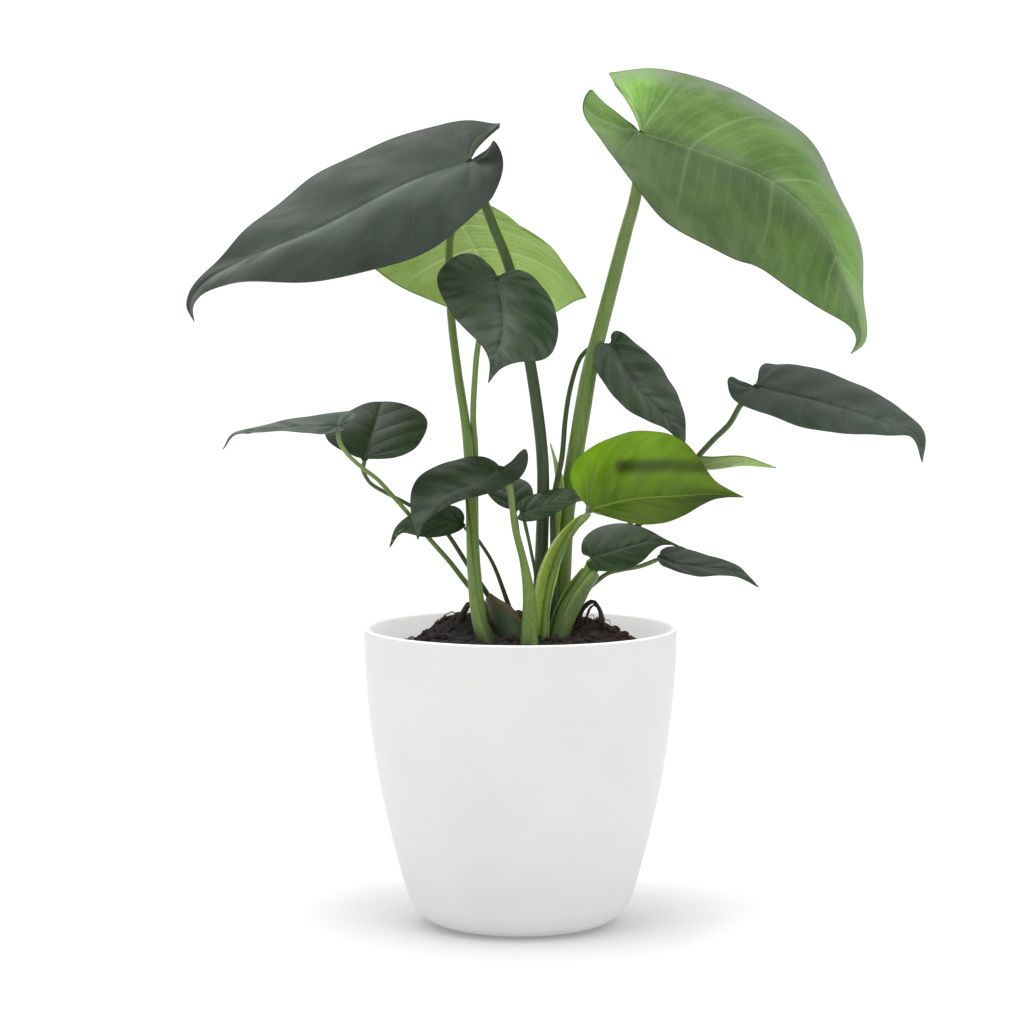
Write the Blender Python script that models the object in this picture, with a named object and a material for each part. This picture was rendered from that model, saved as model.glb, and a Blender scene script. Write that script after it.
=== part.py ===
"""A young potted monstera: sixteen heart-shaped leaves on their stalks, in soil, in a round plastic pot.

Metres, +Z up. The origin is on the pot's axis, on the plane that the pot stands on. +X is to the right and
-Y is towards a person who stands in front of the plant.
"""

import math

import bmesh
import bpy
from mathutils import Matrix, Vector

MM = 0.001

# The pot.
POT_RADIUS = 0.090
POT_HEIGHT = 0.172
POT_FOOT_RADIUS = 0.0595
POT_FOOT_ROUNDING = 0.0167
POT_BELLY = 1.94  # how strongly the side curves in towards the foot
POT_WALL = 0.003
POT_FLOOR = 0.004
POT_FLOOR_RADIUS = 0.044
POT_SIDE_SHARES = (0.14, 0.22, 0.33, 0.46, 0.61, 0.77, 0.90)  # ring heights, as parts of the height
POT_SEGMENTS = 48

# The soil: a ball of soil with a steep shoulder, in a ring of space below the lip.
SOIL_SHOULDER_RADIUS = 0.066
SOIL_CROWN_HEIGHT = 0.1705
SOIL_SHOULDER_DROP = 0.004
SOIL_SHOULDER_EASE = 0.004  # how far inside the shoulder the fall to the ring begins
SOIL_SHOULDER_WIDTH = 0.012  # and how far outside it ends
SOIL_SLOPE = 0.10  # the soil rises towards the back
# Each lump: its place (x, y), height and radius.
SOIL_LUMPS = ((-0.033, 0.016, 0.006, 0.010), (0.040, 0.012, 0.004, 0.016), (-0.060, 0.016, -0.006, 0.018),
              (0.064, 0.016, -0.006, 0.020))
# Two sets of crumbs: their height and how closely they follow each other across and along.
SOIL_CRUMBS = ((0.0010, 130, 150), (0.0006, 260, 190))
SOIL_MARGIN_HEIGHT = 0.1548  # the height of the last ring of the pot's side
SOIL_SEGMENTS = 32
SOIL_RINGS = 11

GAP = 0.0004  # the space that pieces keep where they meet
BLADE_THICKNESS = 0.0011
STALK_SIDES = 6
STALK_STEP = 0.011  # length of one ring-to-ring stretch of a stalk
CURVE_STEPS = 24  # points that stand for each stretch of a smooth curve
OUTLINE_STEPS = 12  # points that stand for each stretch of a blade's outline
MIDRIB_STEPS = 40  # equal parts that a blade's midrib is divided into
EDGE_ANGLE = 55  # degrees; sharper edges than this are shaded as edges

# Half outlines of a blade, from the notch at the stalk round the lobe to the tip. Each place on the margin is
# a part of the blade's length forward of the notch, and a part of the half width out from the midrib.
HEART = ((0.00, 0.00), (-0.08, 0.10), (-0.16, 0.30), (-0.18, 0.55), (-0.12, 0.82), (0.00, 0.97),
         (0.16, 1.00), (0.36, 0.92), (0.58, 0.68), (0.77, 0.35), (0.90, 0.10), (1.00, 0.00))
OVAL = ((0.00, 0.00), (-0.03, 0.18), (-0.03, 0.42), (0.03, 0.68), (0.16, 0.90), (0.36, 0.98),
        (0.56, 0.95), (0.74, 0.74), (0.88, 0.38), (1.00, 0.00))
LEFT, RIGHT = -1, 1
FAN_SHARE = 0.47  # the share of the outline whose veins all start at the stalk
VEIN_SWEEP = 1.15  # how the other veins' starting places crowd towards the stalk
LOBE_REACH = 0.2  # how far the lobes reach back, as a part of the blade's length
TUCK_SHARE = 0.6  # the part of the half width over which a lobe's inner edge is tucked down
FRAME_REACH = 3  # how many parts of the midrib on either side set the way along it

# Each blade: its midrib from the stalk to the tip (mm) and the half widths left and right of it (mm), as
# seen from above with the tip ahead. Then, in degrees: the roll of the blade about its midrib (right side
# down), the rise of each half from the midrib at the stalk and at the tip, how far each half has drooped at
# its margin, and the lift of each lobe. Then how far each lobe's inner edge is tucked down, the number of
# grid columns and rows in each half, and the outlines of the halves.
BLADES = {
    "tall_left": dict(
        midrib=((-29, 2, 439), (-64, -2, 427), (-113, -8, 402), (-153, -14, 385), (-177, -18, 372),
                (-187, -21, 359), (-185, -22, 348)),
        widths=(70, 64), roll=-28, rise=((20, 8), (4, 2)), droop=(50, 18),
        lift=(50, 0), tuck=(0, 0), grid=(18, 4),
        left=((0, 0), (-0.05, 0.05), (-0.1, 0.22), (-0.12, 0.45), (-0.085, 0.62), (0, 0.76), (0.12, 0.92),
              (0.25, 0.98), (0.4, 0.89), (0.55, 0.71), (0.7, 0.5), (0.82, 0.25), (0.91, 0.12), (1, 0)),
        right=((0, 0), (-0.02, 0.18), (-0.07, 0.4), (-0.14, 0.47), (-0.11, 0.64), (-0.03, 0.87),
               (0.11, 1.04), (0.24, 1.12), (0.38, 1.12), (0.52, 0.97), (0.66, 0.55), (0.78, 0.22),
               (0.9, 0.1), (1, 0))),
    "tall_back": dict(
        midrib=((-39, 26, 410), (-30, 46, 397), (-20, 69, 377), (-12, 90, 353), (-7, 107, 327)),
        widths=(62, 74), roll=0, rise=((0, -6), (4, 0)), droop=(46, 46),
        lift=(10, 10), tuck=(0, 0), grid=(18, 4),
        left=HEART,
        right=((0, 0), (-0.04, 0.16), (-0.08, 0.37), (-0.03, 0.54), (0.06, 0.78), (0.11, 1.06),
               (0.18, 1.28), (0.27, 1.27), (0.51, 0.88), (0.69, 0.56), (0.85, 0.25), (1, 0))),
    "heart_front": dict(
        midrib=((-13, -18, 373), (-10, -29, 357), (-10, -42, 342), (-14, -53, 328), (-18, -57, 315)),
        widths=(35, 36), roll=0, rise=((4, 4), (4, 4)), droop=(20, 20),
        lift=(5, 10), tuck=(0, 0), grid=(18, 4),
        left=((0, 0), (-0.04, 0.12), (-0.07, 0.3), (-0.05, 0.5), (0.04, 0.72), (0.2, 0.88), (0.38, 0.93),
              (0.54, 0.89), (0.67, 0.7), (0.76, 0.36), (0.86, 0.12), (1, 0)),
        right=((0, 0), (-0.08, 0.05), (-0.16, 0.19), (-0.205, 0.4), (-0.185, 0.68), (-0.08, 0.93),
               (0.06, 0.97), (0.24, 0.9), (0.46, 0.76), (0.64, 0.52), (0.75, 0.2), (0.86, 0.06), (1, 0))),
    "tall_right": dict(
        midrib=((69, 6, 455), (109, -4, 442), (144, -14, 426), (170, -20, 402), (183, -25, 372),
                (191, -28, 349), (192, -31, 338), (186, -33, 330)),
        widths=(60, 82), roll=30, rise=((20, -20), (30, -22)), droop=(22, 26),
        lift=(0, 26), tuck=(0, -0.3), grid=(18, 4),
        left=((0, 0), (-0.05, 0.3), (-0.12, 0.46), (-0.17, 0.62), (-0.145, 0.78), (-0.04, 0.96),
              (0.09, 1.08), (0.24, 1.13), (0.38, 1.08), (0.52, 0.86), (0.66, 0.68), (0.8, 0.44),
              (0.91, 0.17), (1, 0)),
        right=((0, 0), (-0.08, 0.05), (-0.15, 0.15), (-0.155, 0.35), (-0.12, 0.55), (-0.03, 0.76),
               (0.09, 1.06), (0.22, 1.18), (0.37, 1.06), (0.54, 0.77), (0.7, 0.54), (0.82, 0.27),
               (0.91, 0.08), (1, 0))),
    "mid_right": dict(
        midrib=((53, 16, 334), (60, 13, 321), (69, 10, 308), (79, 7, 298), (88, 5, 287), (94, 4, 273)),
        widths=(28, 26), roll=24, rise=((8, 0), (20, 0)), droop=(16, 16),
        lift=(0, 10), tuck=(0, 0), grid=(14, 3),
        left=((0, 0), (-0.06, 0.07), (-0.09, 0.22), (-0.05, 0.42), (0.07, 0.64), (0.23, 0.88), (0.41, 0.97),
              (0.6, 0.8), (0.76, 0.5), (0.9, 0.24), (1, 0)),
        right=((0, 0), (-0.02, 0.3), (-0.01, 0.68), (0.08, 0.96), (0.2, 1), (0.34, 0.94), (0.48, 0.8),
               (0.62, 0.6), (0.75, 0.32), (0.87, 0.08), (1, 0))),
    "far_right": dict(
        midrib=((136, 10, 310), (167, 2, 303), (189, -4, 297), (210, -9, 290), (225, -13, 284),
                (229, -17, 268)),
        widths=(36, 30), roll=26, rise=((4, 0), (6, 2)), droop=(12, 12),
        lift=(0, 30), tuck=(0, 0), grid=(14, 3),
        left=((0, 0), (-0.01, 0.2), (-0.03, 0.5), (-0.02, 0.76), (0.05, 0.91), (0.17, 1.02), (0.35, 1.03),
              (0.53, 0.86), (0.7, 0.6), (0.84, 0.27), (1, 0)),
        right=((0, 0), (-0.08, 0.05), (-0.13, 0.18), (-0.15, 0.48), (-0.1, 0.71), (0, 0.85), (0.14, 0.94),
               (0.32, 1.01), (0.51, 0.88), (0.68, 0.53), (0.84, 0.17), (1, 0))),
    "bright_right": dict(
        midrib=((39, -26, 242), (60, -34, 248), (76, -38, 250), (92, -40, 251), (109, -40, 252),
                (126, -38, 250)),
        widths=(45, 21), roll=62, rise=((4, 4), (34, 0)), droop=(30, 30),
        lift=(0, 0), tuck=(0, 0), grid=(18, 4),
        left=((0, 0), (-0.05, 0.22), (-0.1, 0.42), (-0.11, 0.58), (-0.05, 0.74), (0.04, 0.93), (0.16, 1.05),
              (0.28, 1.08), (0.4, 1.01), (0.54, 0.87), (0.65, 0.7), (0.72, 0.42), (0.78, 0.2), (0.88, 0.09),
              (1, 0)),
        right=((0, 0), (0.03, 0.15), (0.12, 0.45), (0.26, 0.79), (0.4, 0.88), (0.52, 0.8), (0.64, 0.54),
               (0.76, 0.26), (0.88, 0.08), (1, 0))),
    "edge_right": dict(
        midrib=((57, -9, 265), (84, -9, 266), (108, -12, 265), (127, -13, 267), (146, -12, 265)),
        widths=(8, 8), roll=0, rise=((40, 30), (40, 30)), droop=(-30, -30),
        lift=(10, 10), tuck=(0, 0), grid=(11, 3),
        left=((0, 0), (0.02, 0.5), (0.1, 0.9), (0.4, 1), (0.7, 0.9), (0.85, 0.6), (1, 0)),
        right=((0, 0), (0.02, 0.5), (0.1, 0.9), (0.4, 1), (0.7, 0.9), (0.85, 0.6), (1, 0))),
    "low_right": dict(
        midrib=((41, -4, 213), (57, -8, 218), (74, -13, 223), (85, -16, 222), (94, -18, 219)),
        widths=(31, 17), roll=34, rise=((2, 2), (2, 2)), droop=(16, 16),
        lift=(0, 0), tuck=(0, 0), grid=(14, 3),
        left=((0, 0), (-0.09, 0.12), (-0.12, 0.35), (-0.1, 0.7), (0.02, 0.96), (0.18, 1), (0.33, 0.81),
              (0.5, 0.52), (0.66, 0.21), (0.82, 0.05), (1, 0)),
        right=((0, 0), (-0.05, 0.25), (-0.03, 0.55), (0.05, 0.78), (0.18, 0.97), (0.34, 1.03), (0.52, 1),
               (0.65, 0.72), (0.76, 0.18), (0.88, 0.03), (1, 0))),
    "lowest_right": dict(
        midrib=((81, 8, 212), (87, 5, 209), (103, 0, 207), (121, -5, 205), (137, -9, 196)),
        widths=(22, 14), roll=14, rise=((6, 6), (6, 6)), droop=(12, 12),
        lift=(20, 20), tuck=(0, 0), grid=(14, 3),
        left=((0, 0), (-0.05, 0.16), (-0.05, 0.55), (0.02, 0.9), (0.12, 1), (0.36, 0.8), (0.58, 0.47),
              (0.74, 0.35), (0.88, 0.15), (1, 0)),
        right=((0, 0), (0, 0.2), (0.05, 0.48), (0.14, 0.68), (0.27, 0.87), (0.44, 0.98), (0.62, 0.8),
               (0.78, 0.35), (0.9, 0.08), (1, 0))),
    "low_left": dict(
        midrib=((-11, -22, 265), (-22, -26, 258), (-37, -31, 252), (-47, -36, 245), (-55, -40, 236),
                (-58, -42, 226)),
        widths=(18, 32), roll=-30, rise=((14, 8), (-2, 12)), droop=(16, 16),
        lift=(28, 0), tuck=(0, 0), grid=(14, 3),
        left=((0, 0), (-0.05, 0.06), (-0.1, 0.16), (-0.16, 0.32), (-0.2, 0.5), (-0.22, 0.68), (-0.18, 0.84),
              (-0.08, 0.93), (0.06, 0.9), (0.24, 0.77), (0.43, 0.6), (0.6, 0.38), (0.76, 0.17), (0.9, 0.03),
              (1, 0)),
        right=((0, 0), (-0.01, 0.25), (0, 0.5), (0.07, 0.8), (0.2, 0.95), (0.33, 0.98), (0.47, 0.9),
               (0.6, 0.76), (0.73, 0.53), (0.86, 0.2), (1, 0))),
    "small_left": dict(
        midrib=((-33, 1, 231), (-44, -3, 233), (-57, -7, 233), (-69, -10, 228), (-75, -12, 219)),
        widths=(10, 13), roll=-50, rise=((2, 2), (2, 2)), droop=(14, 14),
        lift=(0, 0), tuck=(0, 0), grid=(14, 3),
        left=((0, 0), (0, 0.24), (0.1, 0.66), (0.24, 0.95), (0.45, 1.07), (0.64, 0.73), (0.78, 0.1),
              (0.9, 0.02), (1, 0)),
        right=((0, 0), (-0.03, 0.4), (-0.02, 0.74), (0.05, 0.98), (0.15, 1), (0.37, 0.72), (0.62, 0.5),
               (0.78, 0.28), (0.9, 0.12), (1, 0))),
    "round_left": dict(
        midrib=((-89, -10, 270), (-86, 4, 281), (-83, 20, 291), (-81, 36, 300)),
        widths=(27, 31), roll=0, rise=((34, 10), (16, 6)), droop=(30, 30),
        lift=(0, 0), tuck=(0, 0), grid=(14, 3),
        left=((0, 0), (-0.03, 0.14), (-0.01, 0.42), (0, 0.58), (0.09, 0.83), (0.28, 0.99), (0.54, 0.87),
              (0.8, 0.66), (0.94, 0.38), (1, 0)),
        right=((0, 0), (-0.03, 0.2), (-0.04, 0.5), (0.03, 0.78), (0.2, 0.96), (0.49, 1), (0.68, 0.95),
               (0.83, 0.78), (0.94, 0.45), (1, 0))),
    "far_left": dict(
        midrib=((-103, -34, 290), (-124, -34, 290), (-146, -36, 288), (-161, -37, 286), (-168, -38, 277)),
        widths=(14, 24), roll=-16, rise=((4, 4), (4, 2)), droop=(8, 8),
        lift=(0, 10), tuck=(0, 0), grid=(14, 3),
        left=((0, 0), (-0.05, 0.2), (-0.06, 0.55), (0.02, 0.9), (0.12, 1), (0.3, 0.75), (0.5, 0.52),
              (0.7, 0.32), (0.86, 0.12), (1, 0)),
        right=((0, 0), (-0.08, 0.15), (-0.14, 0.5), (-0.1, 0.88), (0.02, 1), (0.22, 0.68), (0.45, 0.38),
               (0.65, 0.2), (0.85, 0.08), (1, 0))),
    "small_back": dict(
        midrib=((-3, 6, 240), (-4, 14, 247), (-7, 26, 253), (-9, 38, 258)),
        widths=(16, 12), roll=0, rise=((20, 4), (20, 4)), droop=(16, 16),
        lift=(0, 0), tuck=(0, 0), grid=(11, 3),
        left=OVAL,
        right=OVAL),
    "small_centre": dict(
        midrib=((1, -9, 239), (14, -9, 243), (26, -8, 247), (34, -6, 247), (38, -5, 244)),
        widths=(14, 12), roll=30, rise=((8, 8), (8, 8)), droop=(16, 16),
        lift=(0, 0), tuck=(0, 0), grid=(11, 3),
        left=((0, 0), (-0.06, 0.3), (-0.04, 0.65), (0.1, 0.95), (0.3, 1), (0.55, 0.85), (0.8, 0.5),
              (0.92, 0.2), (1, 0)),
        right=((0, 0), (-0.08, 0.3), (-0.05, 0.7), (0.1, 0.98), (0.3, 1), (0.55, 0.85), (0.8, 0.5),
               (0.92, 0.2), (1, 0))),
}

# Each stalk: the points its centre line passes through (mm), then its radii at equal steps from the foot to
# the blade (mm).
STALKS = {
    "tall_left": ((9, -5, 161), (12, 4, 210), (13, 8, 262), (9, 8, 302), (3, 8, 337), (-6, 6, 377),
        (-15, 4, 401), (-21, 3, 417), (-28, 2, 435)),
    "tall_back": ((-17, -26, 158), (-23, -22, 179), (-26, -14, 206), (-28, -1, 245), (-31, 4, 285),
        (-36, 8, 319), (-40, 13, 353), (-41, 19, 387), (-39, 24, 406)),
    "heart_front": ((-16, -17, 158), (-22, -13, 179), (-25, -7, 205), (-26, 5, 245), (-26, 8, 274),
        (-27, 4, 292), (-26, -3, 315), (-24, -9, 335), (-19, -13, 358), (-14, -16, 370)),
    "tall_right": ((21, 4, 161), (24, 12, 197), (26, 16, 232), (30, 16, 259), (36, 17, 296), (40, 16, 319),
        (46, 13, 343), (52, 12, 366), (60, 12, 397), (66, 9, 420), (70, 6, 450)),
    "mid_right": ((19, -5, 161), (19, -2, 208), (19, 2, 243), (24, 12, 269), (26, 20, 290), (29, 25, 308),
        (34, 28, 324), (40, 28, 331), (46, 25, 333), (52, 19, 331)),
    "far_right": ((32, 30, 160), (34, 32, 182), (42, 33, 199), (55, 31, 214), (76, 26, 236), (90, 22, 253),
        (103, 19, 269), (112, 18, 279), (121, 18, 288), (127, 14, 299), (134, 10, 307)),
    "bright_right": ((12, -26, 161), (13, -20, 188), (18, -15, 209), (24, -17, 222), (31, -21, 232),
        (38, -25, 239)),
    "edge_right": ((27, 17, 161), (31, 20, 184), (41, 24, 203), (54, 25, 217), (65, 25, 231), (69, 19, 244),
        (65, 5, 256), (59, -6, 263)),
    "low_right": ((20, -18, 161), (25, -14, 181), (33, -9, 195), (38, -6, 203), (40, -5, 207)),
    "lowest_right": ((28, 8, 163), (32, 9, 179), (38, 10, 191), (44, 10, 197), (51, 10, 202), (59, 10, 204),
        (69, 9, 206), (79, 8, 210)),
    "low_left": ((5, -34, 160), (5, -30, 191), (2, -24, 211), (-3, -20, 231), (-6, -20, 253),
        (-10, -21, 261)),
    "small_left": ((0, 9, 163), (-7, 9, 184), (-15, 8, 206), (-23, 4, 220), (-28, 2, 226), (-31, 1, 228)),
    "round_left": ((-4, 14, 162), (-12, 14, 177), (-20, 12, 191), (-31, 8, 208), (-42, 7, 225),
        (-52, 6, 235), (-64, 5, 242), (-77, 3, 249), (-86, -1, 255), (-90, -6, 263), (-89, -9, 268)),
    "far_left": ((-8, 19, 161), (-18, 18, 179), (-32, 12, 197), (-41, 9, 209), (-53, 6, 223), (-65, 1, 238),
        (-73, -6, 248), (-81, -16, 258), (-89, -24, 265), (-97, -31, 273), (-102, -34, 281)),
    "small_back": ((4, -22, 162), (4, -8, 199), (0, 2, 219), (-3, 6, 237)),
    "small_centre": ((9, -14, 162), (9, -11, 198), (6, -9, 217), (2, -9, 235)),
}
STALK_RADII = {
    "tall_left": (4.0, 3.4, 2.6), "tall_back": (4.4, 2.7, 2.0), "heart_front": (2.0, 1.9, 1.6),
    "tall_right": (5.4, 4.8, 3.2), "mid_right": (2.4, 1.6, 1.3), "far_right": (2.2, 1.6, 1.4),
    "bright_right": (3.6, 3.6, 1.8), "edge_right": (2.0, 1.8, 1.4), "low_right": (6.0, 6.2, 2.6),
    "lowest_right": (2.0, 1.4, 1.1), "low_left": (5.6, 4.0, 2.2, 1.9, 1.7), "small_left": (1.8, 1.2, 0.9),
    "round_left": (1.8, 1.3, 1.1), "far_left": (1.8, 1.4, 1.2), "small_back": (1.3, 1.1, 0.9),
    "small_centre": (1.3, 1.0, 0.9),
}

# The old sheath and the roots that stand out of the soil: their points and radii (mm).
OTHER_TUBES = {
    "old_sheath": (((-4, -12, 160), (-11, -6, 175), (-18, -2, 187), (-20, -1, 191)), (5.0, 4.2, 1.6)),
    "root_loop": (((33, 4, 170), (36, 4, 179), (40, 4, 183), (43, 4, 185), (46, 4, 182), (47, 4, 177)),
                  (1.5, 1.1, 1.0)),
    "root_stub": (((-37, 14, 170), (-33, 14, 177), (-30, 13, 184)), (2.6, 1.6, 0.8)),
}
HOLE_MARGIN = 0.0009  # how much wider and deeper than its stalk each hole in the soil is

# Colour, roughness and metallic value of each finish.
FINISHES = {
    "pot_plastic": ((0.80, 0.80, 0.80), 0.45, 0.0),
    "potting_soil": ((0.030, 0.018, 0.012), 0.95, 0.0),
    "leaf_dark": ((0.035, 0.075, 0.045), 0.42, 0.0),
    "leaf_mid": ((0.09, 0.22, 0.05), 0.42, 0.0),
    "leaf_young": ((0.16, 0.34, 0.04), 0.45, 0.0),
    "stalk_green": ((0.16, 0.27, 0.07), 0.45, 0.0),
    "dry_sheath": ((0.10, 0.10, 0.04), 0.7, 0.0),
}
YOUNG_BLADES = ("tall_back", "bright_right", "edge_right")
MID_BLADES = ("tall_right",)


def clear_scene():
    """Remove every object of the open file."""
    for obj in list(bpy.data.objects):
        bpy.data.objects.remove(obj, do_unlink=True)


def material(name):
    """The named finish as a Principled material, made once."""
    found = bpy.data.materials.get(name)
    if found:
        return found
    colour, roughness, metallic = FINISHES[name]
    made = bpy.data.materials.new(name)
    made.use_nodes = True
    shader = made.node_tree.nodes["Principled BSDF"]
    shader.inputs["Base Color"].default_value = (*colour, 1.0)
    shader.inputs["Roughness"].default_value = roughness
    shader.inputs["Metallic"].default_value = metallic
    return made


def add_object(name, bm, finish):
    """Turn a bmesh into a smooth-shaded object with its finish."""
    mesh = bpy.data.meshes.new(name)
    bm.to_mesh(mesh)
    bm.free()
    mesh.shade_smooth()
    obj = bpy.data.objects.new(name, mesh)
    bpy.context.scene.collection.objects.link(obj)
    mesh.materials.append(material(finish))
    return obj


def smooth_curve(points, per_span):
    """Points along a Catmull-Rom curve through the given points."""
    ends = [points[0] * 2 - points[1], *points, points[-1] * 2 - points[-2]]
    curve = []
    for before, start, end, after in zip(ends, ends[1:], ends[2:], ends[3:]):
        for step in range(per_span):
            t = step / per_span
            curve.append(0.5 * (
                2 * start + (end - before) * t + (2 * before - 5 * start + 4 * end - after) * t * t
                + (3 * start - before - 3 * end + after) * t ** 3
            ))
    curve.append(points[-1].copy())
    return curve


def at_fraction(values, fraction):
    """The value at a fraction of the way along an evenly spaced list."""
    place = min(max(fraction, 0.0), 1.0) * (len(values) - 1)
    index = min(int(place), len(values) - 2)
    return values[index] + (values[index + 1] - values[index]) * (place - index)


def even_curve(points, count):
    """A smooth curve through the points, as count + 1 points at equal distances along it."""
    fine = smooth_curve([Vector(p) for p in points], CURVE_STEPS)
    lengths = [0.0]
    for a, b in zip(fine, fine[1:]):
        lengths.append(lengths[-1] + (b - a).length)
    even = []
    index = 0
    for step in range(count + 1):
        goal = lengths[-1] * step / count
        while index < len(fine) - 2 and lengths[index + 1] < goal:
            index += 1
        span = lengths[index + 1] - lengths[index]
        even.append(fine[index].lerp(fine[index + 1], (goal - lengths[index]) / span))
    return even, lengths[-1]


def ease(value, low, high):
    """0 below low, 1 above high, and a smooth step between."""
    t = min(max((value - low) / (high - low), 0.0), 1.0)
    return t * t * (3 - 2 * t)


# Pot


def pot_outer_radius(z):
    """Outer radius of the pot at a height above the plane it stands on."""
    side = POT_RADIUS - (POT_RADIUS - POT_FOOT_RADIUS) * (1 - z / POT_HEIGHT) ** POT_BELLY
    turn = max(1 - z / POT_FOOT_ROUNDING, 0.0)
    return side - POT_FOOT_ROUNDING * (1 - math.sqrt(1 - turn * turn))


def pot_profile():
    """Half the pot's section, from the middle of the underside round the lip to the middle of its floor."""
    foot_heights = [POT_FOOT_ROUNDING * k for k in (0.0, 0.03, 0.12, 0.3, 0.6, 1.0)]
    side_heights = [POT_HEIGHT * k for k in POT_SIDE_SHARES]
    outside = [(pot_outer_radius(z), z) for z in foot_heights + side_heights]
    lip_middle = POT_RADIUS - POT_WALL / 2
    lip = []
    for step in range(6):
        angle = math.pi * step / 5
        height = POT_HEIGHT + POT_WALL / 2 * (math.sin(angle) - 1)
        lip.append((lip_middle + POT_WALL / 2 * math.cos(angle), height))
    inside = [(pot_outer_radius(z) - POT_WALL, z) for z in reversed([POT_FLOOR * 2, *side_heights])]
    inside.append((POT_FLOOR_RADIUS, POT_FLOOR))
    return [(0.0, 0.0), *outside, *lip, *inside, (0.0, POT_FLOOR)]


def turned(profile, segments):
    """A solid of revolution from a profile that starts and ends on the axis."""
    bm = bmesh.new()
    rings = []
    for radius, z in profile:
        if radius < 1e-9:
            rings.append([bm.verts.new((0.0, 0.0, z))] * segments)
            continue
        angles = [math.tau * k / segments for k in range(segments)]
        rings.append([bm.verts.new((radius * math.cos(a), radius * math.sin(a), z)) for a in angles])
    for low, high in zip(rings, rings[1:]):
        for k in range(segments):
            corners = [low[k], low[(k + 1) % segments], high[(k + 1) % segments], high[k]]
            bm.faces.new(list(dict.fromkeys(corners)))
    bmesh.ops.recalc_face_normals(bm, faces=bm.faces)
    return bm


def build_pot():
    pot = add_object("pot", turned(pot_profile(), POT_SEGMENTS), "pot_plastic")
    pot.data.set_sharp_from_angle(angle=math.radians(EDGE_ANGLE))


# Soil


def soil_height(x, y):
    """Height of the soil's surface: a crown, a shoulder and a low ring beside the pot's wall."""
    radius = math.hypot(x, y)
    crown = SOIL_CROWN_HEIGHT + SOIL_SLOPE * y - SOIL_SHOULDER_DROP * (radius / SOIL_SHOULDER_RADIUS) ** 2
    for lump_x, lump_y, height, reach in SOIL_LUMPS:
        crown += height * math.exp(-((x - lump_x) ** 2 + (y - lump_y) ** 2) / reach ** 2)
    inner, outer = SOIL_SHOULDER_RADIUS - SOIL_SHOULDER_EASE, SOIL_SHOULDER_RADIUS + SOIL_SHOULDER_WIDTH
    fall = ease(radius, inner, outer)
    (coarse, coarse_x, coarse_y), (fine, fine_x, fine_y) = SOIL_CRUMBS
    crumbs = coarse * math.sin(x * coarse_x + 1) * math.cos(y * coarse_y)
    crumbs += fine * math.sin(x * fine_x - y * fine_y)
    return crown * (1 - fall) + SOIL_MARGIN_HEIGHT * fall + crumbs * (1 - fall)


def build_soil():
    """The soil, from the pot's floor to its mounded top."""
    bottom = POT_FLOOR + GAP
    heights = [POT_FLOOR * 2, *(POT_HEIGHT * k for k in POT_SIDE_SHARES[:-1]), SOIL_MARGIN_HEIGHT]
    profile = [(0.0, bottom), (POT_FLOOR_RADIUS - 3 * GAP, bottom)]
    profile += [(pot_outer_radius(z) - POT_WALL - 3 * GAP, z) for z in heights]
    edge = profile[-1][0]
    profile += [(edge * k / SOIL_RINGS, SOIL_MARGIN_HEIGHT) for k in range(SOIL_RINGS - 1, -1, -1)]
    bm = turned(profile, SOIL_SEGMENTS)
    for vert in bm.verts:
        if vert.co.z > SOIL_MARGIN_HEIGHT - 1e-6:
            vert.co.z = soil_height(vert.co.x, vert.co.y)
    return add_object("soil", bm, "potting_soil")


# Tubes: stalks and roots


def tube(points, radii, sides, widen=0.0):
    """A closed round tube along a smooth curve (mm), with its radii at equal steps along it (mm)."""
    points = [Vector(p) * MM for p in points]
    rough = sum((b - a).length for a, b in zip(points, points[1:]))
    count = max(3, round(rough / STALK_STEP))
    centres, _ = even_curve(points, count)
    bm = bmesh.new()
    across = None
    rings = []
    for index, centre in enumerate(centres):
        ahead = (centres[min(index + 1, count)] - centres[max(index - 1, 0)]).normalized()
        if across is None:
            across = ahead.orthogonal()
        across = (across - ahead * across.dot(ahead)).normalized()
        radius = at_fraction(radii, index / count) * MM + widen
        ring = []
        for side in range(sides):
            turn = Matrix.Rotation(math.tau * side / sides, 3, ahead)
            ring.append(bm.verts.new(centre + turn @ across * radius))
        rings.append(ring)
    for low, high in zip(rings, rings[1:]):
        for side in range(sides):
            after = (side + 1) % sides
            bm.faces.new((low[side], low[after], high[after], high[side]))
    bm.faces.new(reversed(rings[0]))
    bm.faces.new(rings[-1])
    bmesh.ops.recalc_face_normals(bm, faces=bm.faces)
    return bm


def build_tube(name, points, radii, finish):
    obj = add_object(name, tube(points, radii, STALK_SIDES), finish)
    obj.data.set_sharp_from_angle(angle=math.radians(EDGE_ANGLE))
    return obj


def sink_into_soil(soil, name, points, radii):
    """Cut the hole that a stalk or root stands in."""
    foot, above = Vector(points[0]), Vector(points[1])
    deeper = foot + (foot - above).normalized() * HOLE_MARGIN / MM
    cutter = tube((deeper, *points[:4]), radii, STALK_SIDES, HOLE_MARGIN)
    buried = add_object("hole_" + name, cutter, "potting_soil")
    buried.hide_render = True
    buried.display_type = "WIRE"
    cut = soil.modifiers.new("hole_" + name, "BOOLEAN")
    cut.operation = "DIFFERENCE"
    cut.object = buried


# Blades


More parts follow.
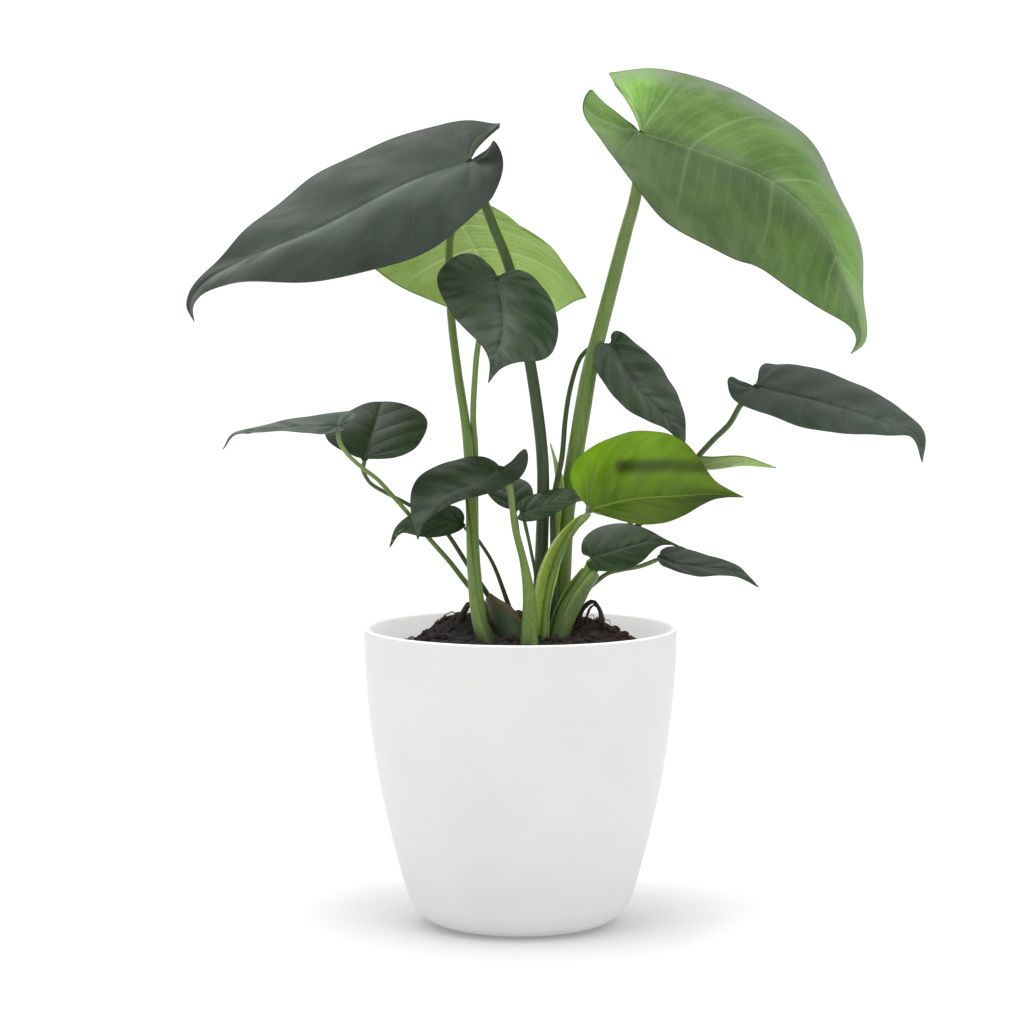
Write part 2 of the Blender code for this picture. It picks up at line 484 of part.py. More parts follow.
def smooth_outline(points, per_span):
    """A uniform cubic B-spline that all but touches its points, and turns more evenly than a tight curve."""
    points = [Vector(point) for point in points]
    corners = [points[0]]
    for before, here, after in zip(points, points[1:], points[2:]):
        corners.append(here + (here * 2 - before - after) / 6)
    corners.append(points[-1])
    ends = [corners[0] * 2 - corners[1], *corners, corners[-1] * 2 - corners[-2]]
    curve = []
    for a, b, c, d in zip(ends, ends[1:], ends[2:], ends[3:]):
        for step in range(per_span):
            t = step / per_span
            curve.append((
                a * (1 - t) ** 3 + b * (3 * t ** 3 - 6 * t * t + 4)
                + c * (-3 * t ** 3 + 3 * t * t + 3 * t + 1) + d * t ** 3
            ) / 6)
    curve.append(corners[-1].copy())
    return curve


class Blade:
    """The curved surface of one leaf blade."""

    def __init__(self, midrib, widths, roll, rise, droop, lift, tuck, grid, left, right):
        self.curve, self.length = even_curve([Vector(p) * MM for p in midrib], MIDRIB_STEPS)
        self.widths = {LEFT: widths[0] * MM, RIGHT: widths[1] * MM}
        self.rise = {LEFT: [math.radians(a) for a in rise[0]], RIGHT: [math.radians(a) for a in rise[1]]}
        self.droop = {LEFT: math.radians(droop[0]), RIGHT: math.radians(droop[1])}
        self.lift = {LEFT: math.radians(lift[0]), RIGHT: math.radians(lift[1])}
        self.tuck = {LEFT: tuck[0], RIGHT: tuck[1]}
        self.shapes = {LEFT: smooth_outline(left, OUTLINE_STEPS), RIGHT: smooth_outline(right, OUTLINE_STEPS)}
        self.columns, self.rows = grid
        self.aheads, self.acrosses = self.make_frames(math.radians(roll))

    def make_frames(self, roll):
        """The way along and the way across (to the right) at each point of the midrib."""
        aheads, acrosses = [], []
        across = None
        for index in range(MIDRIB_STEPS + 1):
            after, before = min(index + FRAME_REACH, MIDRIB_STEPS), max(index - FRAME_REACH, 0)
            ahead = (self.curve[after] - self.curve[before]).normalized()
            if across is None:
                across = ahead.cross(Vector((0, 0, 1))).normalized()
                across = Matrix.Rotation(roll, 3, ahead) @ across
            across = (across - ahead * across.dot(ahead)).normalized()
            aheads.append(ahead)
            acrosses.append(across)
        return aheads, acrosses

    def outline(self, m, side):
        """The half outline at a fraction of its way round, in parts of length and half width."""
        x, y = at_fraction(self.shapes[side], m)
        return x, max(y, 0.0)

    def place(self, x, y, side):
        """The point at a part x of the length, and a part y of the half width out to a side."""
        spot = min(max(x, 0.0), 1.0)
        ahead = at_fraction(self.aheads, spot).normalized()
        across = at_fraction(self.acrosses, spot).normalized()
        up = across.cross(ahead)
        out = y * self.widths[side]
        rise = self.rise[side][0] + (self.rise[side][1] - self.rise[side][0]) * ease(spot, 0, 1)
        point = at_fraction(self.curve, spot)
        if y > 0:
            turn = self.droop[side] * y
            margin = rise - turn
            point = point + across * side * out * (math.sin(rise) - math.sin(margin)) / turn
            point += up * out * (math.cos(margin) - math.cos(rise)) / turn
        if x < 0:
            back = -x * self.length
            curl = math.tan(self.lift[side]) * back * back / (LOBE_REACH * self.length)
            tuck = self.tuck[side] * back * max(1 - y / TUCK_SHARE, 0.0) ** 2
            point = point - ahead * back * math.cos(self.lift[side]) + up * (curl - tuck)
        return point

    def grid_point(self, column, row, side):
        m = column / self.columns
        edge_x, edge_y = self.outline(m, side)
        foot_x = (max(m - FAN_SHARE, 0.0) / (1 - FAN_SHARE)) ** VEIN_SWEEP
        t = row / self.rows
        return self.place(foot_x + (edge_x - foot_x) * t, edge_y * t, side)

    def mesh(self):
        """The blade's surface as one sheet, its upper side up."""
        bm = bmesh.new()
        shared = {}

        def vert(column, row, side):
            m = column / self.columns
            if column == 0 or (row == 0 and m <= FAN_SHARE):
                key = "stalk"
            elif column == self.columns:
                key = "tip"
            elif row == 0:
                key = ("midrib", column)
            else:
                key = (column, row, side)
            if key not in shared:
                shared[key] = bm.verts.new(self.grid_point(column, row, side))
            return shared[key]

        for side in (LEFT, RIGHT):
            for column in range(1, self.columns):  # the first column of the fan is the notch's own edge
                for row in range(self.rows):
                    corners = [vert(column, row, side), vert(column + 1, row, side),
                               vert(column + 1, row + 1, side), vert(column, row + 1, side)]
                    corners = list(dict.fromkeys(corners))
                    if len(corners) > 2:
                        bm.faces.new(corners if side == LEFT else corners[::-1])
        bmesh.ops.triangulate(bm, faces=bm.faces)
        return bm


def build_blade(name, finish):
    blade = add_object("leaf_" + name, Blade(**BLADES[name]).mesh(), finish)
    thick = blade.modifiers.new("thickness", "SOLIDIFY")
    thick.thickness = BLADE_THICKNESS
    thick.offset = -1.0


def blade_finish(name):
    if name in YOUNG_BLADES:
        return "leaf_young"
    return "leaf_mid" if name in MID_BLADES else "leaf_dark"


def main():
    clear_scene()
    build_pot()
    soil = build_soil()
    for name in BLADES:
        build_blade(name, blade_finish(name))
        build_tube("petiole_" + name, STALKS[name], STALK_RADII[name], "stalk_green")
        sink_into_soil(soil, name, STALKS[name], STALK_RADII[name])
    for name, (points, radii) in OTHER_TUBES.items():
        build_tube(name, points, radii, "dry_sheath")
        sink_into_soil(soil, name, points, radii)


main()
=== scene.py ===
# %% [markdown]
# # A potted monstera
#
# This lesson builds a young monstera in a round white pot: heart-shaped blades on arching stalks, the
# pale sheaths at their feet, a mound of crumbly soil, and the pot. The solid model of the same plant is
# loaded first. It fixes where every leaf is and how large the whole thing may be. Each step then puts a
# finer piece in the place of one of its nodes.

# %% Load the fixed frame
import math
import random

import bmesh
import bpy
from mathutils import Matrix, Vector, noise


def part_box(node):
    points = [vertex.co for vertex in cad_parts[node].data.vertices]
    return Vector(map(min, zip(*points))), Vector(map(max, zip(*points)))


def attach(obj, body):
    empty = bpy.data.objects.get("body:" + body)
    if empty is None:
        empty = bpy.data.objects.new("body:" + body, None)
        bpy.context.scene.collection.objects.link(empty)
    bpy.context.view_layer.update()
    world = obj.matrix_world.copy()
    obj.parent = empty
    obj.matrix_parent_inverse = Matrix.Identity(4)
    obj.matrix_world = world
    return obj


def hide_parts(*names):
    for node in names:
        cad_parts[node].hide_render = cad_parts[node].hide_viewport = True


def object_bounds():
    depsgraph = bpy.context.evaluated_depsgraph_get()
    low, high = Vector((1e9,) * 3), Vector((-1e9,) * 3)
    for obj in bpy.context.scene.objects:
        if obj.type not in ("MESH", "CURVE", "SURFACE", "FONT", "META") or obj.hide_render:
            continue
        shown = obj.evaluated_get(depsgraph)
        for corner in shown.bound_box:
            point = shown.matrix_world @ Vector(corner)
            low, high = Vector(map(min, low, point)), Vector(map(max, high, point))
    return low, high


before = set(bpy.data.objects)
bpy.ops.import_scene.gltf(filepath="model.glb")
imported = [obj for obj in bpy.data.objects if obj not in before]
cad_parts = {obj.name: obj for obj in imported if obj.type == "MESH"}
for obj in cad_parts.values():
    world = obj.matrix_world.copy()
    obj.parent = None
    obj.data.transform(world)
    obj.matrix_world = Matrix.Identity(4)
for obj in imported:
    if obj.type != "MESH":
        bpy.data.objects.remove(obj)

MM = 0.001
cad_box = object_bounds()
print("the solid model measures", [round(b - a, 3) for a, b in zip(*cad_box)], "m")

# %% [markdown]
# ## Curves
#
# Stalks, midribs and roots are all drawn as smooth curves through a few points. A Catmull-Rom spline
# passes through every point it is given, which makes it easy to steer: to move a leaf, move one of its
# points. The points come out bunched where the curve is short, so a second helper spreads them evenly
# along its length.

# %% Smooth curves
CURVE_STEPS = 24


def smooth_curve(points, per_span):
    """Points along a Catmull-Rom curve through the given points."""
    ends = [points[0] * 2 - points[1], *points, points[-1] * 2 - points[-2]]
    curve = []
    for before, start, end, after in zip(ends, ends[1:], ends[2:], ends[3:]):
        for step in range(per_span):
            t = step / per_span
            curve.append(0.5 * (
                2 * start + (end - before) * t + (2 * before - 5 * start + 4 * end - after) * t * t
                + (3 * start - before - 3 * end + after) * t ** 3
            ))
    curve.append(points[-1].copy())
    return curve


def even_curve(points, count):
    """A smooth curve as count + 1 points at equal distances along it, and its length."""
    fine = smooth_curve([Vector(p) for p in points], CURVE_STEPS)
    lengths = [0.0]
    for a, b in zip(fine, fine[1:]):
        lengths.append(lengths[-1] + (b - a).length)
    even = []
    index = 0
    for step in range(count + 1):
        goal = lengths[-1] * step / count
        while index < len(fine) - 2 and lengths[index + 1] < goal:
            index += 1
        span = max(lengths[index + 1] - lengths[index], 1e-9)
        even.append(fine[index].lerp(fine[index + 1], (goal - lengths[index]) / span))
    return even, lengths[-1]


def at_fraction(values, fraction):
    """The value at a fraction of the way along an evenly spaced list."""
    place = min(max(fraction, 0.0), 1.0) * (len(values) - 1)
    index = min(int(place), len(values) - 2)
    return values[index] + (values[index + 1] - values[index]) * (place - index)


def ease(value, low, high):
    """0 below low, 1 above high, and a smooth step between."""
    t = min(max((value - low) / (high - low), 0.0), 1.0)
    return t * t * (3 - 2 * t)


def bump(value, width):
    """A smooth hump: 1 at 0, and almost nothing two widths away."""
    return math.exp(-(value / width) ** 2)


# %% [markdown]
# ## Studio
#
# The plant stands on a plain white floor in a white room. A white room lights a thing from every side,
# so there are no hard shadows, only a soft one where the pot meets the floor, which a painted shadow on
# the floor deepens. One large soft lamp, high in front, gives the leaves their long pale highlights, and
# a weaker one lights them from behind. The room is dimmest in front and brighter at the sides, which is
# what makes the edges of the white pot stand out brighter than its middle.

# %% White room
SEEN_WHITE = 1.05  # what the camera sees of the room: a little more than white
CEILING_START, CEILING_END = 0.25, 0.95  # where the ceiling begins and is full: 0 level, 1 straight up

scene = bpy.context.scene
scene.view_settings.view_transform = "Standard"
scene.view_settings.look = "None"
world = bpy.data.worlds.new("white_room")
world.use_nodes = True
scene.world = world


def build_room(tree, top, front, back, sides):
    """White to the camera; to all else as bright as given: above, in front, behind and at the sides."""
    nodes, links = tree.nodes, tree.links
    nodes.clear()

    def step(operation, *values):
        node = nodes.new("ShaderNodeMath")
        node.operation = operation
        for index, value in enumerate(values):
            if isinstance(value, bpy.types.NodeSocket):
                links.new(value, node.inputs[index])
            else:
                node.inputs[index].default_value = value
        return node.outputs[0]

    place = nodes.new("ShaderNodeTexCoord")
    split = nodes.new("ShaderNodeSeparateXYZ")
    links.new(place.outputs["Generated"], split.inputs[0])
    across, ahead, up = split.outputs
    middle = step("MULTIPLY_ADD", ahead, (back - front) / 2, (back + front) / 2)
    beside = step("MULTIPLY", step("ABSOLUTE", across), sides - (back + front) / 2)
    horizon = step("ADD", middle, beside)
    high = nodes.new("ShaderNodeMapRange")
    high.interpolation_type = "SMOOTHSTEP"
    high.inputs["From Min"].default_value = CEILING_START
    high.inputs["From Max"].default_value = CEILING_END
    links.new(up, high.inputs["Value"])
    rest = step("SUBTRACT", 1.0, high.outputs[0])
    strength = step("ADD", step("MULTIPLY", high.outputs[0], top), step("MULTIPLY", rest, horizon))
    backgrounds = []
    for value in (strength, SEEN_WHITE):
        background = nodes.new("ShaderNodeBackground")
        background.inputs["Color"].default_value = (1, 1, 1, 1)
        backgrounds.append(background)
        if isinstance(value, float):
            background.inputs["Strength"].default_value = value
        else:
            links.new(value, background.inputs["Strength"])
    path = nodes.new("ShaderNodeLightPath")
    mix = nodes.new("ShaderNodeMixShader")
    links.new(path.outputs["Is Camera Ray"], mix.inputs[0])
    links.new(backgrounds[0].outputs[0], mix.inputs[1])
    links.new(backgrounds[1].outputs[0], mix.inputs[2])
    out = nodes.new("ShaderNodeOutputWorld")
    links.new(mix.outputs[0], out.inputs["Surface"])


build_room(world.node_tree, top=1.3, front=0.45, back=0.65, sides=0.95)
print("the room is white, and brightest above")

# %% Lamps


def soft_lamp(name, place, target, size, power):
    """A square soft lamp that faces a point."""
    data = bpy.data.lights.new(name, "AREA")
    data.shape = "SQUARE"
    data.size = size
    data.energy = power
    lamp = bpy.data.objects.new(name, data)
    scene.collection.objects.link(lamp)
    lamp.location = place
    lamp.rotation_euler = (Vector(target) - Vector(place)).to_track_quat("-Z", "Y").to_euler()


plant_middle = (cad_box[0] + cad_box[1]) / 2
soft_lamp("high_lamp", (-0.1, -0.45, 1.9), plant_middle, size=0.7, power=7.5)
soft_lamp("back_lamp", (-0.6, 1.2, 1.4), plant_middle, size=0.7, power=1.2)
print("both lamps face", [round(value, 3) for value in plant_middle])

# %% [markdown]
# The camera stands two metres away, level with the upper leaves, and looks slightly down. A long lens
# keeps the far and the near side of the pot almost the same size.

# %% Camera
CAMERA_PLACE = (-0.0048, -2.0, 0.4076)
CAMERA_PITCH = 4.84  # degrees below level
CAMERA_LENS = 122.8  # mm, on a sensor 36 mm wide

camera_data = bpy.data.cameras.new("camera")
camera_data.lens = CAMERA_LENS
camera_data.sensor_width = 36.0
camera_data.clip_end = 60.0
camera = bpy.data.objects.new("camera", camera_data)
camera.location = CAMERA_PLACE
camera.rotation_euler = (math.radians(90 - CAMERA_PITCH), 0, 0)
scene.collection.objects.link(camera)
scene.camera = camera
print("the camera stands", round(-CAMERA_PLACE[1], 2), "m in front of the plant")

# %% [markdown]
# ## Materials
#
# Every finish starts as a Principled shader. The helper below makes the nodes less wordy: it adds a
# node, sets its values and wires its inputs in one call. Patterns that several finishes share, such as
# mottling, are node groups, built once and given their own values in each material.

# %% Material helpers


def add(tree, kind, values=None, **settings):
    """Add a node. Values are for its inputs, by name or number; settings are the node's own options."""
    node = tree.nodes.new(kind)
    for name, value in settings.items():
        setattr(node, name, value)
    for key, value in (values or {}).items():
        if isinstance(value, bpy.types.NodeSocket):
            tree.links.new(value, node.inputs[key])
        else:
            node.inputs[key].default_value = value
    return node


def mix_colour(tree, share, first, second):
    """A colour between two others."""
    node = tree.nodes.new("ShaderNodeMix")
    node.data_type = "RGBA"
    for socket, value in zip((node.inputs[0], node.inputs[6], node.inputs[7]), (share, first, second)):
        if isinstance(value, bpy.types.NodeSocket):
            tree.links.new(value, socket)
        else:
            socket.default_value = (*value, 1.0) if isinstance(value, tuple) else value
    return node.outputs[2]


def calculate(tree, operation, first, second=0.0, clamp=False):
    """One step of arithmetic."""
    node = add(tree, "ShaderNodeMath", {0: first, 1: second}, operation=operation, use_clamp=clamp)
    return node.outputs[0]


def fade(tree, value, low, high, start=0.0, end=1.0):
    """A smooth step from start to end while value goes from low to high."""
    keys = {"Value": value, "From Min": low, "From Max": high, "To Min": start, "To Max": end}
    return add(tree, "ShaderNodeMapRange", keys, interpolation_type="SMOOTHSTEP").outputs[0]


def principled(name, roughness, specular=0.5, coat=0.0, coat_roughness=0.2):
    """A new material, its node tree and its Principled shader."""
    made = bpy.data.materials.new(name)
    made.use_nodes = True
    shader = made.node_tree.nodes["Principled BSDF"]
    shader.inputs["Roughness"].default_value = roughness
    shader.inputs["Specular IOR Level"].default_value = specular
    shader.inputs["Coat Weight"].default_value = coat
    shader.inputs["Coat Roughness"].default_value = coat_roughness
    return made, made.node_tree, shader


def new_group(name, inputs, outputs):
    """An empty shader node group with named number inputs (and their usual values) and outputs."""
    group = bpy.data.node_groups.new(name, "ShaderNodeTree")
    for title, value in inputs.items():
        socket = group.interface.new_socket(title, in_out="INPUT", socket_type="NodeSocketFloat")
        socket.default_value = value
    for title, kind in outputs.items():
        group.interface.new_socket(title, in_out="OUTPUT", socket_type=kind)
    return group, group.nodes.new("NodeGroupInput"), group.nodes.new("NodeGroupOutput")


def use_group(tree, group, **values):
    """Place a node group in a material, with its own values."""
    node = tree.nodes.new("ShaderNodeGroup")
    node.node_tree = group
    for name, value in values.items():
        node.inputs[name.replace("_", " ").capitalize()].default_value = value
    return node


# %% [markdown]
# ### Mottling
#
# Nothing that grows is one even colour. This group gives two masks: soft clouds some centimetres wide,
# and fine grain. Both are read in the object's own coordinates, so they stay put on the leaf from every
# side.

# %% Mottling group
mottling, group_in, group_out = new_group(
    "mottling", {"Cloud scale": 30.0, "Grain scale": 600.0},
    {"Clouds": "NodeSocketFloat", "Grain": "NodeSocketFloat"})
spot = add(mottling, "ShaderNodeTexCoord").outputs["Object"]
clouds = add(mottling, "ShaderNodeTexNoise", {"Vector": spot, "Scale": group_in.outputs["Cloud scale"],
                                              "Detail": 4.0, "Roughness": 0.55})
grain = add(mottling, "ShaderNodeTexNoise", {"Vector": spot, "Scale": group_in.outputs["Grain scale"],
                                             "Detail": 3.0, "Roughness": 0.6})
mottling.links.new(fade(mottling, clouds.outputs[0], 0.32, 0.68), group_out.inputs["Clouds"])
mottling.links.new(fade(mottling, grain.outputs[0], 0.3, 0.7), group_out.inputs["Grain"])
print("mottling puts out:", ", ".join(socket.name for socket in group_out.inputs if socket.name))

# %% [markdown]
# ## Pot
#
# The pot is a thin moulded shell: a rounded foot, sides that swell as they rise, and a rounded lip. A
# shape that is the same all the way round is turned from one profile, as on a lathe. The profile runs
# from the middle of the underside, up the outside, over the lip, down the inside and across the floor,
# so the turned shell is closed and has a real thickness. Its rim is what the eye checks first, so the
# lip gets many rings.

# %% Pot profile
pot_low, pot_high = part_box("pot")
POT_RADIUS = (pot_high[0] - pot_low[0]) / 2
POT_HEIGHT = pot_high[2]
POT_FOOT_RADIUS = 0.0595
POT_FOOT_ROUNDING = 0.0167
POT_BELLY = 1.94  # how strongly the side curves in towards the foot
POT_WALL = 0.003
POT_FLOOR = 0.004
POT_SEGMENTS = 160


def pot_outer_radius(z):
    """Outer radius of the pot at a height above the floor it stands on."""
    side = POT_RADIUS - (POT_RADIUS - POT_FOOT_RADIUS) * (1 - z / POT_HEIGHT) ** POT_BELLY
    turn = max(1 - z / POT_FOOT_ROUNDING, 0.0)
    return side - POT_FOOT_ROUNDING * (1 - math.sqrt(1 - turn * turn))


def pot_profile(foot_rings=14, side_rings=26, lip_rings=12):
    """Half the pot's section, from the middle of the underside round to the middle of its floor."""
    foot = [POT_FOOT_ROUNDING * (k / foot_rings) ** 2 for k in range(foot_rings)]
    top = POT_HEIGHT - POT_WALL / 2
    side = [POT_FOOT_ROUNDING + (top - POT_FOOT_ROUNDING) * k / side_rings for k in range(side_rings)]
    outside = [(pot_outer_radius(z), z) for z in foot + side]
    lip = []
    for k in range(lip_rings + 1):
        angle = math.pi * k / lip_rings
        middle = POT_RADIUS - POT_WALL / 2
        lip.append((middle + POT_WALL / 2 * math.cos(angle), top + POT_WALL / 2 * math.sin(angle)))
    inside = [(pot_outer_radius(z) - POT_WALL, z) for z in reversed(side[1:])]
    floor_edge = pot_outer_radius(POT_FOOT_ROUNDING) - POT_WALL - 2 * POT_FLOOR
    return [(0.0, 0.0), *outside, *lip, *inside, (floor_edge, POT_FLOOR), (0.0, POT_FLOOR)]


def turned(profile, segments):
    """A solid of revolution from a profile that starts and ends on the axis."""
    bm = bmesh.new()
    rings = []
    for radius, z in profile:
        if radius < 1e-9:
            rings.append([bm.verts.new((0.0, 0.0, z))] * segments)
            continue
        angles = [math.tau * k / segments for k in range(segments)]
        rings.append([bm.verts.new((radius * math.cos(a), radius * math.sin(a), z)) for a in angles])
    for low, high in zip(rings, rings[1:]):
        for k in range(segments):
            corners = [low[k], low[(k + 1) % segments], high[(k + 1) % segments], high[k]]
            bm.faces.new(list(dict.fromkeys(corners)))
    bmesh.ops.recalc_face_normals(bm, faces=bm.faces)
    return bm


print("the pot is", round(POT_RADIUS * 2, 3), "m wide and", round(POT_HEIGHT, 3), "m tall")

# %% [markdown]
# Every finished piece goes through one helper. It turns the mesh into a smooth-shaded object, gives it
# its materials, lets it ride on the plant, and hides the nodes of the solid model that it stands for.

# %% Finished pieces


def piece(name, bm, materials, slot, *nodes):
    """A finished piece of the plant."""
    mesh = bpy.data.meshes.new(name)
    bm.to_mesh(mesh)
    bm.free()
    mesh.shade_smooth()
    for finish in materials:
        mesh.materials.append(finish)
    obj = bpy.data.objects.new(name, mesh)
    scene.collection.objects.link(obj)
    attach(obj, "root")
    if nodes:
        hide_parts(*nodes)
    return obj


# %% [markdown]
# ### White plastic
#
# The plastic is matte and almost clean. It is not one flat white: the mould leaves a very fine grain,
# which a small bump gives, and the surface is a trace warmer and duller in soft clouds.
#
# White plastic on a white floor also catches a lot of light that has bounced. A weak glow stands for
# it: over all of the inside and the lip, and on the outside only near the foot, where it fades out as
# it climbs.

# %% Pot finish
FOOT_LIGHT_REACH = 0.040  # how far up the side the floor lights it
FOOT_LIGHT_FALL = 4.0  # how fast that light fades
FOOT_GLOW, INSIDE_GLOW = 0.17, 0.46
LIP_BAND = 0.0007  # the top of the lip, which has the inside's finish


def pot_finish(name, glow, by_foot=False):
    """White plastic, and how strongly it glows: all over, or only by the foot, where the floor lights it."""
    made, tree, shader = principled(name, 0.42, specular=0.4)
    mottle = use_group(tree, mottling, Cloud_scale=14.0, Grain_scale=1800.0)
    tree.links.new(mix_colour(tree, mottle.outputs["Clouds"], (0.725, 0.725, 0.725), (0.755, 0.755, 0.75)),
                   shader.inputs["Base Color"])
    tree.links.new(fade(tree, mottle.outputs["Clouds"], 0.0, 1.0, 0.38, 0.48), shader.inputs["Roughness"])
    bumps = add(tree, "ShaderNodeBump", {"Height": mottle.outputs["Grain"], "Strength": 0.12,
                                         "Distance": 0.0002})
    tree.links.new(bumps.outputs[0], shader.inputs["Normal"])
    shader.inputs["Emission Color"].default_value = (1, 1, 1, 1)
    shader.inputs["Emission Strength"].default_value = glow
    if by_foot:
        place = add(tree, "ShaderNodeTexCoord").outputs["Object"]
        height = add(tree, "ShaderNodeSeparateXYZ", {0: place}).outputs[2]
        climbed = calculate(tree, "DIVIDE", height, FOOT_LIGHT_REACH)
        below = calculate(tree, "SUBTRACT", 1.0, climbed, clamp=True)
        light = calculate(tree, "POWER", below, FOOT_LIGHT_FALL)
        tree.links.new(mix_colour(tree, light, (0, 0, 0), (1, 1, 1)), shader.inputs["Emission Color"])
    return made


pot_solid = turned(pot_profile(), POT_SEGMENTS)
for face in pot_solid.faces:
    middle = face.calc_center_median()
    facing_in = face.normal.x * middle.x + face.normal.y * middle.y < 0
    face.material_index = 1 if facing_in or middle.z > POT_HEIGHT - LIP_BAND else 0
print("the pot has", len(pot_solid.faces), "faces")
pot_finishes = [pot_finish("pot_plastic", FOOT_GLOW, by_foot=True), pot_finish("pot_inside", INSIDE_GLOW)]
piece("white_pot", pot_solid, pot_finishes, "pot_plastic", "pot")

# %% [markdown]
# ## Soil
#
# The mound of soil almost reaches the lip in the middle, is highest towards the back, and falls away
# steeply into a ring of space beside the wall. The surface is a round grid, lifted by a formula for the
# mound and then roughened by noise: broad lumps first, then crumbs. Noise alone looks like wet clay, so
# loose crumbs and fibres are added on top as real pieces of their own.

# %% Soil surface
SOIL_CROWN_HEIGHT = 0.1705
SOIL_CROWN_DROP = 0.004  # from the middle to the shoulder
SOIL_SLOPE = 0.10  # how much it rises towards the back
SOIL_SHOULDER_RADIUS = 0.066
SHOULDER_START, SHOULDER_END = 0.004, 0.012  # how far inside and outside that radius the surface falls away
SOIL_MARGIN_HEIGHT = 0.1548
SOIL_GAP = 0.0012  # between the soil and the wall
SOIL_SIDE_HEIGHTS = (0.11, 0.07, 0.03, POT_FLOOR * 2)
# Humps and hollows: place, height and reach.
SOIL_LUMPS = ((-0.033, 0.016, 0.006, 0.010), (0.040, 0.012, 0.004, 0.016), (-0.058, 0.016, -0.009, 0.018),
              (0.064, 0.016, -0.006, 0.020))
# Roughness of each size: how high it is, and how many repeats there are in a metre.
ROUGH_LUMPS, ROUGH_GRAIN = (0.0022, 90), (0.0005, 1500)
ROUGH_CRUMBS, ROUGH_BITS = (0.0026, 210), (0.0012, 520)


def soil_height(x, y):
    """Height of the soil's surface before its crumbs."""
    radius = math.hypot(x, y)
    crown = SOIL_CROWN_HEIGHT + SOIL_SLOPE * y - SOIL_CROWN_DROP * (radius / SOIL_SHOULDER_RADIUS) ** 2
    for lump_x, lump_y, height, reach in SOIL_LUMPS:
        crown += height * math.exp(-((x - lump_x) ** 2 + (y - lump_y) ** 2) / reach ** 2)
    fall = ease(radius, SOIL_SHOULDER_RADIUS - SHOULDER_START, SOIL_SHOULDER_RADIUS + SHOULDER_END)
    return crown * (1 - fall) + SOIL_MARGIN_HEIGHT * fall


def rough_soil(x, y):
    """The same surface with lumps, crumbs and grain."""
    spot = Vector((x, y, 0.0))

    def waves(height, scale):
        return height * noise.noise(spot * scale)

    def cells(height, scale):
        return height * (0.5 - noise.voronoi(spot * scale)[0][0])

    crumbs = cells(*ROUGH_CRUMBS) + cells(*ROUGH_BITS)
    return soil_height(x, y) + waves(*ROUGH_LUMPS) + crumbs + waves(*ROUGH_GRAIN)


def build_mound(segments=300, rings=110):
    """The whole ball of soil: a round rough top, and plain sides and underside inside the pot."""
    bm = bmesh.new()
    reach = pot_outer_radius(SOIL_MARGIN_HEIGHT) - POT_WALL - SOIL_GAP
    top = bm.verts.new((0, 0, rough_soil(0, 0)))
    loops = []
    for ring in range(1, rings + 1):
        radius = reach * ring / rings
        loops.append([])
        for k in range(segments):
            angle = math.tau * k / segments
            x, y = radius * math.cos(angle), radius * math.sin(angle)
            height = rough_soil(x, y) if ring < rings else SOIL_MARGIN_HEIGHT
            loops[-1].append(bm.verts.new((x, y, height)))
    for height in SOIL_SIDE_HEIGHTS:
        radius = pot_outer_radius(height) - POT_WALL - SOIL_GAP
        loops.append([bm.verts.new((v.co.x / reach * radius, v.co.y / reach * radius, height))
                      for v in loops[rings - 1]])
    for k in range(segments):
        bm.faces.new((top, loops[0][k], loops[0][(k + 1) % segments]))
        for inner, outer in zip(loops, loops[1:]):
            bm.faces.new((inner[k], outer[k], outer[(k + 1) % segments], inner[(k + 1) % segments]))
    bm.faces.new(list(reversed(loops[-1])))
    return bm


print("the middle of the soil lies", round((POT_HEIGHT - soil_height(0, 0)) / MM, 1), "mm below the lip")

# %% [markdown]
# ### Soil finish
#
# Damp potting soil is almost black, with browner crumbs where it has dried and reddish bits of bark and
# coir. The `bit` attribute is a number between 0 and 1 that each loose crumb or fibre carries, so that
# no two of them have quite the same colour. Towards the right the soil has dried more, and more of the
# red shows.

# %% Soil finishes
DRY_SIDE_START, DRY_SIDE_END = 0.040, 0.068  # how far to the right the soil turns drier


def soil_finish(name, damp, dry, red, scale):
    """A crumbly brown: damp and dry clouds, reddish specks, and a rough surface."""
    made, tree, shader = principled(name, 0.9, specular=0.25)
    mottle = use_group(tree, mottling, Cloud_scale=scale, Grain_scale=scale * 9)
    bit = add(tree, "ShaderNodeAttribute", attribute_name="bit").outputs["Fac"]
    shade = calculate(tree, "ADD", calculate(tree, "MULTIPLY", mottle.outputs["Clouds"], 0.6),
                      calculate(tree, "MULTIPLY", bit, 0.6), clamp=True)
    colour = mix_colour(tree, shade, damp, dry)
    specks = fade(tree, mottle.outputs["Grain"], 0.62, 0.9)
    colour = mix_colour(tree, calculate(tree, "MULTIPLY", specks, 0.6), colour, red)
    place = add(tree, "ShaderNodeTexCoord").outputs["Object"]
    across = add(tree, "ShaderNodeSeparateXYZ", {0: place}).outputs[0]
    dry_side = fade(tree, across, DRY_SIDE_START, DRY_SIDE_END)
    drier = calculate(tree, "MULTIPLY", dry_side, mottle.outputs["Clouds"])
    colour = mix_colour(tree, calculate(tree, "MULTIPLY", drier, 0.9), colour, red)
    tree.links.new(colour, shader.inputs["Base Color"])
    tree.links.new(fade(tree, mottle.outputs["Clouds"], 0.0, 1.0, 0.7, 0.98), shader.inputs["Roughness"])
    bumps = add(tree, "ShaderNodeBump", {"Height": mottle.outputs["Grain"], "Strength": 0.7,
                                         "Distance": 0.0006})
    tree.links.new(bumps.outputs[0], shader.inputs["Normal"])
    return made


